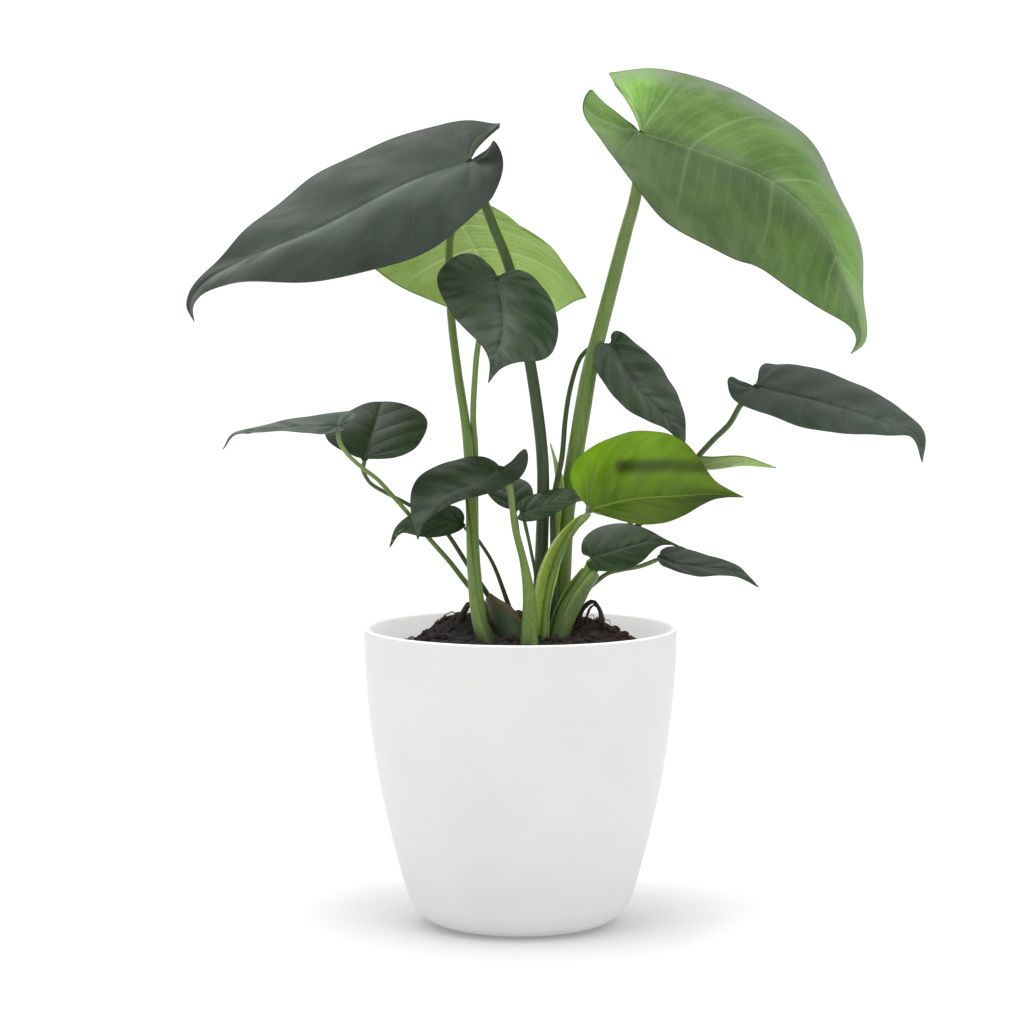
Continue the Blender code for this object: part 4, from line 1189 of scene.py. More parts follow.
leaf_upper = {
    "slate": leaf_finish("leaf_slate", (0.011, 0.026, 0.013), (0.034, 0.058, 0.036), (0.080, 0.115, 0.070),
                         (0.03, 0.03, 0.02), 0.48, 0.26, vein_share=0.2, rib_share=0.55),
    "dark": leaf_finish("leaf_dark", (0.012, 0.030, 0.011), (0.032, 0.062, 0.024), (0.075, 0.125, 0.050),
                        (0.03, 0.03, 0.015), 0.42, 0.34, vein_share=0.12, rib_share=0.5),
    "mid": leaf_finish("leaf_mid", (0.056, 0.118, 0.028), (0.108, 0.188, 0.050), (0.25, 0.37, 0.16),
                       (0.07, 0.07, 0.03), 0.48, 0.22, glow=0.25, glow_colour=(0.42, 0.62, 0.10),
                       vein_share=0.42, rib_share=0.85, vein_width=2.0),
    "young": leaf_finish("leaf_young", (0.090, 0.185, 0.006), (0.175, 0.305, 0.010), (0.30, 0.45, 0.10),
                         (0.16, 0.20, 0.03), 0.42, 0.30, glow=0.40, glow_colour=(0.62, 0.84, 0.04)),
}
leaf_under = {
    "slate": leaf_finish("leaf_slate_under", (0.06, 0.09, 0.05), (0.08, 0.12, 0.06), (0.12, 0.17, 0.08),
                         (0.05, 0.05, 0.03), 0.6, 0.3),
    "dark": leaf_finish("leaf_dark_under", (0.05, 0.10, 0.04), (0.07, 0.13, 0.05), (0.13, 0.20, 0.09),
                        (0.04, 0.05, 0.02), 0.6, 0.3),
    "mid": leaf_finish("leaf_mid_under", (0.14, 0.23, 0.07), (0.19, 0.29, 0.10), (0.30, 0.42, 0.17),
                       (0.10, 0.11, 0.05), 0.6, 0.3, glow=0.30, glow_colour=(0.50, 0.68, 0.18)),
    "young": leaf_finish("leaf_young_under", (0.34, 0.48, 0.15), (0.46, 0.60, 0.27), (0.80, 0.92, 0.55),
                         (0.22, 0.24, 0.17), 0.6, 0.3, glow=0.45, glow_colour=(0.60, 0.78, 0.29),
                         vein_share=0.85, vein_width=1.5),
}
print("leaf finishes:", ", ".join(leaf_upper))

# %% [markdown]
# ### The sixteen leaves
#
# Each leaf is one entry in a table: where its midrib runs, how wide its halves are, how it rolls,
# rises, droops and curls, and which of the half outlines it has. The entries for shading, ends and
# sheen are painted light and shade: how much lighter or darker the green is painted at the midrib and
# the margin of each half and at its lobes and tip, and how much painted sheen it has. A few more numbers
# say how many side veins it has, how deep the pillows between them are, and how much its margin waves.
# The four blades at the top of the plant come first. They and the bright young leaf get a finer grid.

# %% Upper blades
LARGE, SMALL = (132, 21), (76, 13)  # columns and rows of the grid

LEAVES = {
    "tall_left": dict(
        midrib=((-29, 2, 439), (-64, -2, 427), (-113, -8, 402), (-153, -14, 385), (-177, -18, 372),
                (-187, -21, 359), (-185, -22, 348)),
        widths=(70, 64), roll=-28, rise=((20, 8), (4, 2)), droop=(50, 18),
        lift=(50, 0), tuck=(0, 0),
        left=((0, 0), (-0.05, 0.05), (-0.1, 0.22), (-0.12, 0.45), (-0.085, 0.62), (0, 0.76), (0.12, 0.92),
              (0.25, 0.98), (0.4, 0.89), (0.55, 0.71), (0.7, 0.5), (0.82, 0.25), (0.91, 0.12), (1, 0)),
        right=((0, 0), (-0.02, 0.18), (-0.07, 0.4), (-0.14, 0.47), (-0.11, 0.64), (-0.03, 0.87),
               (0.11, 1.04), (0.24, 1.12), (0.38, 1.12), (0.52, 0.97), (0.66, 0.55), (0.78, 0.22),
               (0.9, 0.1), (1, 0)),
        painted_shading=((1.3, 0.62), (0.76, 0.7)), ends=(0.7, 1.0), painted_sheen=((0.9, 0.0), (0.15, 0.1)),
        finish="slate", grid=LARGE, veins=7, quilt=2.6, wave=0.9, waves=5),
    "tall_back": dict(
        midrib=((-39, 26, 410), (-30, 46, 397), (-20, 69, 377), (-12, 90, 353), (-7, 107, 327)),
        widths=(62, 74), roll=0, rise=((0, -6), (4, 0)), droop=(46, 46),
        lift=(10, 10), tuck=(0, 0),
        left=HEART,
        right=((0, 0), (-0.04, 0.16), (-0.08, 0.37), (-0.03, 0.54), (0.06, 0.78), (0.11, 1.06),
               (0.18, 1.28), (0.27, 1.27), (0.51, 0.88), (0.69, 0.56), (0.85, 0.25), (1, 0)),
        painted_shading=((0.93, 0.9), (1.05, 1.1)), painted_sheen=((0, 0), (0, 0)),
        finish="young", grid=LARGE, veins=9, quilt=2.0, wave=0.8, waves=5),
    "heart_front": dict(
        midrib=((-13, -18, 373), (-10, -29, 357), (-10, -42, 342), (-14, -53, 328), (-18, -57, 315)),
        widths=(35, 36), roll=0, rise=((4, 4), (4, 4)), droop=(20, 20),
        lift=(5, 10), tuck=(0, 0),
        left=((0, 0), (-0.04, 0.12), (-0.07, 0.3), (-0.05, 0.5), (0.04, 0.72), (0.2, 0.88), (0.38, 0.93),
              (0.54, 0.89), (0.67, 0.7), (0.76, 0.36), (0.86, 0.12), (1, 0)),
        right=((0, 0), (-0.08, 0.05), (-0.16, 0.19), (-0.205, 0.4), (-0.185, 0.68), (-0.08, 0.93),
               (0.06, 0.97), (0.24, 0.9), (0.46, 0.76), (0.64, 0.52), (0.75, 0.2), (0.86, 0.06), (1, 0)),
        painted_shading=((1.15, 1.25), (1.1, 1.15)), ends=(1.25, 1.0), painted_sheen=((0.4, 0.3), (0.3, 0.3)),
        finish="dark", grid=LARGE, veins=8, quilt=1.0, wave=0.5, waves=4),
    "tall_right": dict(
        midrib=((69, 6, 455), (109, -4, 442), (144, -14, 426), (170, -20, 402), (183, -25, 372),
                (191, -28, 349), (192, -31, 338), (186, -33, 330)),
        widths=(60, 82), roll=30, rise=((20, -20), (30, -22)), droop=(22, 26),
        lift=(0, 26), tuck=(0, -0.3),
        left=((0, 0), (-0.05, 0.3), (-0.12, 0.46), (-0.17, 0.62), (-0.145, 0.78), (-0.04, 0.96),
              (0.09, 1.08), (0.24, 1.13), (0.38, 1.08), (0.52, 0.86), (0.66, 0.68), (0.8, 0.44),
              (0.91, 0.17), (1, 0)),
        right=((0, 0), (-0.085, 0.03), (-0.155, 0.11), (-0.17, 0.3), (-0.13, 0.52), (-0.03, 0.76),
               (0.09, 1.06), (0.22, 1.18), (0.37, 1.06), (0.54, 0.77), (0.7, 0.54), (0.82, 0.27),
               (0.91, 0.08), (1, 0)),
        painted_shading=((1.2, 1.35), (0.70, 0.86)), ends=(1.8, 1.5), painted_sheen=((0.5, 2.0), (0.4, 0.4)),
        finish="mid", grid=LARGE, veins=7, quilt=3.2, wave=1.0, waves=5),
}
print("upper blades:", len(LEAVES))

# %% [markdown]
# On the right grow two dark leaves on long stalks, the bright young leaf with the furled one behind it,
# and two small leaves low down. A furled leaf is the same kind of sheet with both halves folded down
# steeply.

# %% Blades on the right
FURLED = ((0, 0), (0.02, 0.5), (0.1, 0.9), (0.4, 1), (0.7, 0.9), (0.85, 0.6), (1, 0))

LEAVES |= {
    "mid_right": dict(
        midrib=((53, 16, 334), (60, 13, 321), (69, 10, 308), (79, 7, 298), (88, 5, 287), (94, 4, 273)),
        widths=(28, 26), roll=24, rise=((8, 0), (20, 0)), droop=(16, 16),
        lift=(0, 10), tuck=(0, 0),
        left=((0, 0), (-0.06, 0.07), (-0.09, 0.22), (-0.05, 0.42), (0.07, 0.64), (0.23, 0.88),
              (0.41, 0.97), (0.6, 0.8), (0.76, 0.5), (0.9, 0.24), (1, 0)),
        right=((0, 0), (-0.02, 0.3), (-0.01, 0.68), (0.08, 0.96), (0.2, 1), (0.34, 0.94), (0.48, 0.8),
               (0.62, 0.6), (0.75, 0.32), (0.87, 0.08), (1, 0)),
        painted_shading=((1.15, 1.25), (1.1, 1.15)), ends=(1.6, 1.0), painted_sheen=((0.6, 0.4), (0.4, 0.2)),
        finish="dark", grid=SMALL, veins=8, quilt=0.9, wave=0.3, waves=4),
    "far_right": dict(
        midrib=((136, 10, 310), (167, 2, 303), (189, -4, 297), (210, -9, 290), (225, -13, 284),
                (229, -17, 268)),
        widths=(36, 30), roll=26, rise=((4, 0), (6, 2)), droop=(12, 12),
        lift=(0, 30), tuck=(0, 0),
        left=((0, 0), (-0.01, 0.2), (-0.03, 0.5), (-0.02, 0.76), (0.05, 0.91), (0.17, 1.02), (0.35, 1.03),
              (0.53, 0.86), (0.7, 0.6), (0.84, 0.27), (1, 0)),
        right=((0, 0), (-0.08, 0.05), (-0.13, 0.18), (-0.15, 0.48), (-0.1, 0.71), (0, 0.85), (0.14, 0.94),
               (0.32, 1.01), (0.51, 0.88), (0.68, 0.53), (0.84, 0.17), (1, 0)),
        painted_shading=((1.15, 1.0), (1.1, 1.1)), painted_sheen=((0.2, 0.4), (0.3, 0)),
        finish="slate", grid=SMALL, veins=8, quilt=1.2, wave=0.5, waves=4),
    "bright_right": dict(
        midrib=((39, -26, 242), (60, -34, 248), (76, -38, 250), (92, -40, 251), (109, -40, 252),
                (126, -38, 250)),
        widths=(45, 21), roll=62, rise=((4, 4), (34, 0)), droop=(30, 30),
        lift=(0, 0), tuck=(0, 0),
        left=((0, 0), (-0.055, 0.2), (-0.11, 0.4), (-0.125, 0.6), (-0.09, 0.82), (0, 1.01),
              (0.13, 1.1), (0.27, 1.11), (0.41, 1.07), (0.55, 0.97), (0.66, 0.79), (0.74, 0.5),
              (0.8, 0.22), (0.89, 0.09), (1, 0)),
        right=((0, 0), (0.03, 0.15), (0.12, 0.45), (0.26, 0.79), (0.4, 0.88), (0.52, 0.8), (0.64, 0.54),
               (0.76, 0.26), (0.88, 0.08), (1, 0)),
        painted_shading=((0.74, 1.2), (0.58, 0.55)), ends=(1.05, 0.6), painted_sheen=((0, 0), (0, 0)),
        finish="young", grid=LARGE, veins=9, quilt=0.8, wave=0.3, waves=4),
    "edge_right": dict(
        midrib=((57, -9, 265), (84, -9, 266), (108, -12, 265), (127, -13, 267), (146, -12, 265)),
        widths=(8, 8), roll=0, rise=((40, 30), (40, 30)), droop=(-30, -30),
        lift=(10, 10), tuck=(0, 0),
        left=FURLED,
        right=FURLED,
        painted_shading=((0.48, 0.48), (0.48, 0.48)), ends=(1.0, 2.2),
        finish="young", grid=SMALL, veins=7, quilt=0.2, wave=0.0, waves=3),
    "low_right": dict(
        midrib=((41, -4, 213), (57, -8, 218), (74, -13, 223), (85, -16, 222), (94, -18, 219)),
        widths=(31, 17), roll=34, rise=((2, 2), (2, 2)), droop=(16, 16),
        lift=(0, 0), tuck=(0, 0),
        left=((0, 0), (-0.09, 0.12), (-0.12, 0.35), (-0.1, 0.7), (0.02, 0.96), (0.18, 1), (0.33, 0.81),
              (0.5, 0.52), (0.66, 0.21), (0.82, 0.05), (1, 0)),
        right=((0, 0), (-0.05, 0.25), (-0.03, 0.55), (0.05, 0.78), (0.18, 0.97), (0.34, 1.03), (0.52, 1),
               (0.65, 0.72), (0.76, 0.18), (0.88, 0.03), (1, 0)),
        painted_shading=((1.6, 1.6), (1.5, 1.5)), painted_sheen=((0.6, 0.1), (0, 0)),
        finish="dark", grid=SMALL, veins=6, quilt=0.3, wave=0.3, waves=3),
    "lowest_right": dict(
        midrib=((81, 8, 212), (87, 5, 209), (103, 0, 207), (121, -5, 205), (137, -9, 196)),
        widths=(22, 14), roll=14, rise=((6, 6), (6, 6)), droop=(12, 12),
        lift=(20, 20), tuck=(0, 0),
        left=((0, 0), (-0.05, 0.16), (-0.05, 0.55), (0.02, 0.9), (0.12, 1), (0.36, 0.8), (0.58, 0.47),
              (0.74, 0.35), (0.88, 0.15), (1, 0)),
        right=((0, 0), (0, 0.2), (0.05, 0.48), (0.14, 0.68), (0.27, 0.87), (0.44, 0.98), (0.62, 0.8),
               (0.78, 0.35), (0.9, 0.08), (1, 0)),
        painted_sheen=((0.3, 0.1), (0.1, 0)),
        finish="slate", grid=SMALL, veins=7, quilt=0.6, wave=0.2, waves=3),
}
print("with those on the right:", len(LEAVES))

# %% [markdown]
# The last six are small dark leaves on the left and in the middle.

# %% Small blades
LEAVES |= {
    "low_left": dict(
        midrib=((-11, -22, 265), (-22, -26, 258), (-37, -31, 252), (-47, -36, 245), (-55, -40, 236),
                (-58, -42, 226)),
        widths=(18, 32), roll=-30, rise=((14, 8), (-2, 12)), droop=(16, 16),
        lift=(28, 0), tuck=(0, 0),
        left=((0, 0), (-0.05, 0.05), (-0.11, 0.13), (-0.18, 0.28), (-0.225, 0.48), (-0.235, 0.68),
              (-0.19, 0.85), (-0.08, 0.94), (0.06, 0.9), (0.24, 0.77), (0.43, 0.6), (0.6, 0.38),
              (0.76, 0.17), (0.9, 0.03), (1, 0)),
        right=((0, 0), (-0.01, 0.25), (0, 0.5), (0.07, 0.8), (0.2, 0.95), (0.33, 0.98), (0.47, 0.9),
               (0.6, 0.76), (0.73, 0.53), (0.86, 0.2), (1, 0)),
        painted_shading=((0.65, 0.6), (0.8, 0.7)), painted_sheen=((0.2, 0), (0.3, 0.2)),
        finish="dark", grid=SMALL, veins=7, quilt=0.5, wave=0.3, waves=3),
    "small_left": dict(
        midrib=((-33, 1, 231), (-44, -3, 233), (-57, -7, 233), (-69, -10, 228), (-75, -12, 219)),
        widths=(10, 13), roll=-50, rise=((2, 2), (2, 2)), droop=(14, 14),
        lift=(0, 0), tuck=(0, 0),
        left=((0, 0), (0, 0.24), (0.1, 0.66), (0.24, 0.95), (0.45, 1.07), (0.64, 0.73), (0.78, 0.1),
              (0.9, 0.02), (1, 0)),
        right=((0, 0), (-0.03, 0.4), (-0.02, 0.74), (0.05, 0.98), (0.15, 1), (0.37, 0.72), (0.62, 0.5),
               (0.78, 0.28), (0.9, 0.12), (1, 0)),
        painted_shading=((1.3, 1.3), (1.3, 1.3)),
        finish="dark", grid=SMALL, veins=6, quilt=0.3, wave=0.2, waves=3),
    "round_left": dict(
        midrib=((-89, -10, 270), (-86, 4, 281), (-83, 20, 291), (-81, 36, 300)),
        widths=(27, 31), roll=0, rise=((34, 10), (16, 6)), droop=(30, 30),
        lift=(0, 0), tuck=(0, 0),
        left=((0, 0), (-0.03, 0.14), (-0.01, 0.42), (0, 0.58), (0.09, 0.83), (0.28, 0.99), (0.54, 0.87),
              (0.8, 0.66), (0.94, 0.38), (1, 0)),
        right=((0, 0), (-0.03, 0.2), (-0.04, 0.5), (0.03, 0.78), (0.2, 0.96), (0.49, 1), (0.68, 0.95),
               (0.83, 0.78), (0.94, 0.45), (1, 0)),
        finish="dark", grid=SMALL, veins=7, quilt=0.3, wave=0.3, waves=3),
    "far_left": dict(
        midrib=((-103, -34, 290), (-124, -34, 290), (-146, -36, 288), (-161, -37, 286), (-168, -38, 277)),
        widths=(14, 24), roll=-16, rise=((4, 4), (4, 2)), droop=(8, 8),
        lift=(0, 10), tuck=(0, 0),
        left=((0, 0), (-0.05, 0.2), (-0.06, 0.55), (0.02, 0.9), (0.12, 1), (0.3, 0.75), (0.5, 0.52),
              (0.7, 0.32), (0.86, 0.12), (1, 0)),
        right=((0, 0), (-0.08, 0.15), (-0.14, 0.5), (-0.1, 0.88), (0.02, 1), (0.22, 0.68), (0.45, 0.38),
               (0.65, 0.2), (0.85, 0.08), (1, 0)),
        painted_shading=((1.5, 1.5), (2.3, 2.3)), painted_sheen=((0.6, 0.6), (1.0, 1.0)),
        finish="slate", grid=SMALL, veins=7, quilt=0.7, wave=0.4, waves=3),
    "small_back": dict(
        midrib=((-3, 6, 240), (-4, 14, 247), (-7, 26, 253), (-9, 38, 258)),
        widths=(16, 12), roll=0, rise=((20, 4), (20, 4)), droop=(16, 16),
        lift=(0, 0), tuck=(0, 0),
        left=OVAL,
        right=OVAL,
        finish="dark", grid=SMALL, veins=6, quilt=0.3, wave=0.2, waves=3),
    "small_centre": dict(
        midrib=((1, -9, 239), (14, -9, 243), (26, -8, 247), (34, -6, 247), (38, -5, 244)),
        widths=(14, 12), roll=30, rise=((8, 8), (8, 8)), droop=(16, 16),
        lift=(0, 0), tuck=(0, 0),
        left=((0, 0), (-0.06, 0.3), (-0.04, 0.65), (0.1, 0.95), (0.3, 1), (0.55, 0.85), (0.8, 0.5),
              (0.92, 0.2), (1, 0)),
        right=((0, 0), (-0.08, 0.3), (-0.05, 0.7), (0.1, 0.98), (0.3, 1), (0.55, 0.85), (0.8, 0.5),
               (0.92, 0.2), (1, 0)),
        painted_shading=((2.0, 1.8), (1.8, 1.6)), painted_sheen=((0.5, 0.2), (0.3, 0)),
        finish="dark", grid=SMALL, veins=6, quilt=0.4, wave=0.2, waves=3),
}
print("all leaves:", len(LEAVES))

# %% Making the blades
SHAPE_KEYS = ("midrib", "widths", "roll", "rise", "droop", "lift", "tuck", "left", "right")
EVEN_SHADING, NO_SHEEN = ((1.0, 1.0), (1.0, 1.0)), ((0.0, 0.0), (0.0, 0.0))  # no painted shading, and no painted sheen
ENDS = (1.0, 1.0)  # no painted light or shade on the lobes and the tip
THICK = 0.45  # of every blade, in mm
SLOTS = {"slate": "leaf_dark", "dark": "leaf_dark", "mid": "leaf_mid", "young": "leaf_young"}

blades = {leaf: Blade(**{name: spec[name] for name in SHAPE_KEYS}) for leaf, spec in LEAVES.items()}
RIGHT_BEHIND = {"bright_right": "edge_right"}  # this leaf gets a painted shadow of the furled one behind it
for leaf, spec in LEAVES.items():
    columns, rows = spec["grid"]
    behind = blades[RIGHT_BEHIND[leaf]].curve if leaf in RIGHT_BEHIND else ()
    mesh = blade_mesh(blades[leaf], columns, rows, spec["veins"], spec["quilt"], spec["wave"],
                      spec["waves"], THICK, spec.get("painted_shading", EVEN_SHADING), spec.get("ends", ENDS),
                      spec.get("painted_sheen", NO_SHEEN), behind)
    finish = spec["finish"]
    sides = [leaf_upper[finish], leaf_under[finish]]
    made = piece("blade_" + leaf, mesh, sides, SLOTS[finish], "leaf_" + leaf)
    print(f"{leaf}: {blades[leaf].length / MM:.0f} mm long, {len(made.data.polygons)} faces")

# %% [markdown]
# ## Stalks
#
# A stalk is not a plain tube. It is thick and clasping at its foot, slimmer higher up, and has a
# shallow groove on the side that faces the middle of the plant. Just below the blade it thickens into a
# short joint that lets the leaf turn. So the tube's rings are made one by one: a radius that changes
# along the way, and a dent on the grooved side.

# %% Stalk mesh
STALK_SIDES = 18
STALK_STEP = 0.0022  # between two rings
STALK_MIN_RINGS = 12
JOINT_PLACE, JOINT_WIDTH = 7, 6.0  # where the joint is thickest and how long it is, in mm from the end
END_ROUNDING = 1.2  # how much of the end is rounded, in mm
GROOVE_ANGLE = 0.55  # half the groove's width, in radians round the stalk
LUMP_SCALE = 160


def groove_direction(centre, ahead):
    """Towards the middle of the plant and up, at right angles to the stalk."""
    inward = Vector((-centre.x, -centre.y, 0.0))
    inward = inward.normalized() if inward.length > 1e-6 else Vector((0, -1, 0))
    direction = inward * 0.5 + Vector((0, 0, 0.8)) + Vector((0, -0.15, 0))
    return (direction - ahead * direction.dot(ahead)).normalized()


def stalk_mesh(points, radii, groove=0.12, joint=0.22, lumps=0.025):
    """A grooved stalk with a joint at its end. Points and radii are in mm."""
    points = [Vector(p) * MM for p in points]
    rough = sum((b - a).length for a, b in zip(points, points[1:]))
    count = max(STALK_MIN_RINGS, round(rough / STALK_STEP))
    centres, length = even_curve(points, count)
    bm = bmesh.new()
    along = bm.verts.layers.float.new("along")
    rings = []
    direction = None
    for index, centre in enumerate(centres):
        share = index / count
        ahead = (centres[min(index + 1, count)] - centres[max(index - 1, 0)]).normalized()
        wanted = groove_direction(centre, ahead)
        direction = wanted if direction is None else (direction * 0.8 + wanted * 0.2)
        direction = (direction - ahead * direction.dot(ahead)).normalized()
        second = ahead.cross(direction)
        from_end = (1 - share) * length / MM
        radius = at_fraction(radii, share) * MM
        swelling = joint * bump(from_end - JOINT_PLACE, JOINT_WIDTH)
        radius *= 1 + swelling + lumps * noise.noise(centre * LUMP_SCALE)
        if from_end < END_ROUNDING:
            radius *= math.sqrt(max(1 - (1 - from_end / END_ROUNDING) ** 2, 0.02))
        ring = []
        for side in range(STALK_SIDES):
            angle = math.tau * side / STALK_SIDES
            off = math.atan2(math.sin(angle), math.cos(angle))
            dent = 1 - groove * bump(off, GROOVE_ANGLE) * ease(share, 0.05, 0.3)
            out = direction * math.cos(angle) + second * math.sin(angle)
            vert = bm.verts.new(centre + out * radius * dent)
            vert[along] = share
            ring.append(vert)
        rings.append(ring)
    close_tube(bm, rings)
    bmesh.ops.recalc_face_normals(bm, faces=bm.faces)
    return bm


# %% [markdown]
# ### Stalk finish
#
# A stalk is darker at its foot, green above, and often paler and yellower near its blade. Along it run
# fine streaks, and here and there a small dark fleck. The streaks are noise that is stretched
# lengthwise: its coordinates are multiplied by much less along the stalk than around it. Each point of
# the mesh carries the share of the way from foot to blade in `along`, and the finish reads it there.

# %% Stalk finishes
STREAK_SCALE = (1400.0, 1400.0, 60.0)


def stalk_finish(name, foot, middle, top, streak, roughness=0.42):
    """A streaked green that changes from foot to blade."""
    made, tree, shader = principled(name, roughness, specular=0.4, coat=0.05, coat_roughness=0.3)
    share = add(tree, "ShaderNodeAttribute", attribute_name="along").outputs["Fac"]
    colour = mix_colour(tree, fade(tree, share, 0.5, 1.0), middle, top)
    place = add(tree, "ShaderNodeTexCoord").outputs["Object"]
    stretched = add(tree, "ShaderNodeVectorMath", {0: place, 1: STREAK_SCALE}, operation="MULTIPLY")
    lines = add(tree, "ShaderNodeTexNoise", {"Vector": stretched.outputs[0], "Scale": 1.0, "Detail": 3.0})
    streaks = fade(tree, lines.outputs[0], 0.42, 0.72)
    colour = mix_colour(tree, calculate(tree, "MULTIPLY", streaks, 0.45), colour, streak)
    mottle = use_group(tree, mottling, Cloud_scale=60.0, Grain_scale=900.0)
    clouded = mix_colour(tree, calculate(tree, "MULTIPLY", mottle.outputs["Clouds"], 0.35), colour, middle)
    flecks = fade(tree, mottle.outputs["Grain"], 0.80, 0.95)
    flecked = mix_colour(tree, calculate(tree, "MULTIPLY", flecks, 0.5), clouded, foot)
    colour = mix_colour(tree, fade(tree, share, 0.01, 0.15, 0.2, 1.0), foot, flecked)
    tree.links.new(colour, shader.inputs["Base Color"])
    height = calculate(tree, "ADD", calculate(tree, "MULTIPLY", streaks, 0.6),
                       calculate(tree, "MULTIPLY", mottle.outputs["Grain"], 0.4))
    bumps = add(tree, "ShaderNodeBump", {"Height": height, "Strength": 0.3, "Distance": 0.0003})
    tree.links.new(bumps.outputs[0], shader.inputs["Normal"])
    tree.links.new(fade(tree, mottle.outputs["Clouds"], 0.0, 1.0, roughness - 0.05, roughness + 0.08),
                   shader.inputs["Roughness"])
    return made


stalk_finishes = {
    "dark": stalk_finish("stalk_dark", (0.035, 0.050, 0.020), (0.046, 0.074, 0.026), (0.082, 0.145, 0.034),
                         (0.090, 0.130, 0.055)),
    "green": stalk_finish("stalk_green", (0.022, 0.034, 0.011), (0.155, 0.245, 0.046), (0.180, 0.255, 0.080),
                          (0.200, 0.270, 0.095)),
    "pale": stalk_finish("stalk_pale", (0.060, 0.110, 0.016), (0.128, 0.218, 0.030), (0.240, 0.315, 0.110),
                         (0.270, 0.340, 0.130)),
    "lime": stalk_finish("stalk_lime", (0.170, 0.265, 0.040), (0.480, 0.650, 0.120), (0.520, 0.640, 0.200),
                         (0.380, 0.470, 0.190)),
    "fresh": stalk_finish("stalk_fresh", (0.040, 0.065, 0.018), (0.085, 0.140, 0.026), (0.280, 0.430, 0.070),
                          (0.200, 0.270, 0.100)),
}
print("stalk finishes:", ", ".join(stalk_finishes))

# %% [markdown]
# Each stalk is a line of points from the soil to its blade, and a few radii, spread evenly from its
# foot to the blade. The last point is the blade's own joint, so the two pieces meet.

# %% Stalks
JOINT_DROP = Vector((0, 0, 0.6))  # the stalk ends this far below the top of its blade, in mm
STALKS = {
    "tall_left": ("dark", (4.0, 3.4, 2.6), (
        (9, -5, 161), (12, 4, 210), (13, 8, 262), (9, 8, 302), (3, 8, 337), (-6, 6, 377), (-15, 4, 401),
        (-21, 3, 417), (-28, 2, 435))),
    "tall_back": ("green", (4.4, 2.7, 2.0), (
        (-17, -26, 158), (-23, -22, 179), (-26, -14, 206), (-28, -1, 245), (-31, 4, 285), (-36, 8, 319),
        (-40, 13, 353), (-41, 19, 387), (-39, 24, 406))),
    "heart_front": ("green", (2.0, 1.9, 1.6), (
        (-16, -17, 158), (-22, -13, 179), (-25, -7, 205), (-26, 5, 245), (-26, 8, 274), (-27, 4, 292),
        (-26, -3, 315), (-24, -9, 335), (-19, -13, 358), (-14, -16, 370))),
    "tall_right": ("pale", (5.4, 4.8, 3.2), (
        (21, 4, 161), (24, 12, 197), (26, 16, 232), (30, 16, 259), (36, 17, 296), (40, 16, 319),
        (46, 13, 343), (52, 12, 366), (60, 12, 397), (66, 9, 420), (70, 6, 450))),
    "mid_right": ("dark", (2.4, 1.6, 1.3), (
        (19, -5, 161), (19, -2, 208), (19, 2, 243), (24, 12, 269), (26, 20, 290), (29, 25, 308),
        (34, 28, 324), (40, 28, 331), (46, 25, 333), (52, 19, 331))),
    "far_right": ("dark", (2.2, 1.8, 1.7), (
        (32, 30, 160), (34, 32, 182), (42, 33, 199), (55, 31, 214), (76, 26, 236), (90, 22, 253),
        (103, 19, 269), (112, 18, 279), (121, 18, 288), (127, 14, 299), (134, 10, 307))),
    "bright_right": ("pale", (2.2, 2.0, 1.7), (
        (13, -24, 161), (15, -16, 188), (20, -11, 209), (26, -14, 222), (32, -20, 232), (38, -25, 239))),
    "edge_right": ("green", (2.0, 1.8, 1.4), (
        (27, 17, 161), (31, 20, 184), (41, 24, 203), (54, 25, 217), (65, 25, 231), (69, 19, 244),
        (65, 5, 256), (59, -6, 263))),
    "low_right": ("fresh", (4.0, 4.4, 2.4), (
        (20, -18, 161), (25, -14, 181), (33, -9, 195), (38, -6, 203), (40, -5, 207))),
    "lowest_right": ("green", (2.0, 1.4, 1.1), (
        (28, 8, 163), (32, 9, 179), (38, 10, 191), (44, 10, 197), (51, 10, 202), (59, 10, 204),
        (69, 9, 206), (79, 8, 210))),
    "low_left": ("pale", (5.6, 4.0, 2.2, 1.9, 1.7), (
        (5, -34, 160), (5, -30, 191), (2, -24, 211), (-3, -20, 231), (-6, -20, 253), (-10, -21, 261))),
    "small_left": ("dark", (1.8, 1.2, 0.9), (
        (0, 9, 163), (-7, 9, 184), (-15, 8, 206), (-23, 4, 220), (-28, 2, 226), (-31, 1, 228))),
    "round_left": ("dark", (1.8, 1.3, 1.1), (
        (-4, 14, 162), (-12, 14, 177), (-20, 12, 191), (-31, 8, 208), (-42, 7, 225), (-52, 6, 235),
        (-64, 5, 242), (-77, 3, 249), (-86, -1, 255), (-90, -6, 263), (-89, -9, 268))),
    "far_left": ("green", (1.8, 1.4, 1.2), (
        (-8, 19, 161), (-18, 18, 179), (-32, 12, 197), (-41, 9, 209), (-53, 6, 223), (-65, 1, 238),
        (-73, -6, 248), (-81, -16, 258), (-89, -24, 265), (-97, -31, 273), (-102, -34, 281))),
    "small_back": ("dark", (1.3, 1.1, 0.9), (
        (4, -22, 162), (4, -8, 199), (0, 2, 219), (-3, 6, 237))),
    "small_centre": ("dark", (1.3, 1.0, 0.9), (
        (9, -14, 162), (9, -11, 198), (6, -9, 217), (2, -9, 235))),
}

for leaf, (finish, radii, points) in STALKS.items():
    joint = blades[leaf].curve[0] / MM - JOINT_DROP
    piece("stalk_" + leaf, stalk_mesh((*points, joint), radii), [stalk_finishes[finish]], "stalk_green",
          "petiole_" + leaf)
print("stalks:", len(STALKS))

# %% [markdown]
# ## Sheaths and roots
#
# Near its foot a stalk widens into a sheath, which once wrapped the younger leaf inside it. Five of
# them show here. A sheath is a strip bent round a line into an open gutter: wide at the foot, narrower
# and thinner towards its end. In the soil stand the dead sheath of an older leaf and three bits of
# root, two of which loop over and back.

# %% Sheath mesh
SHEATH_STEPS, SHEATH_SIDES = 40, 18


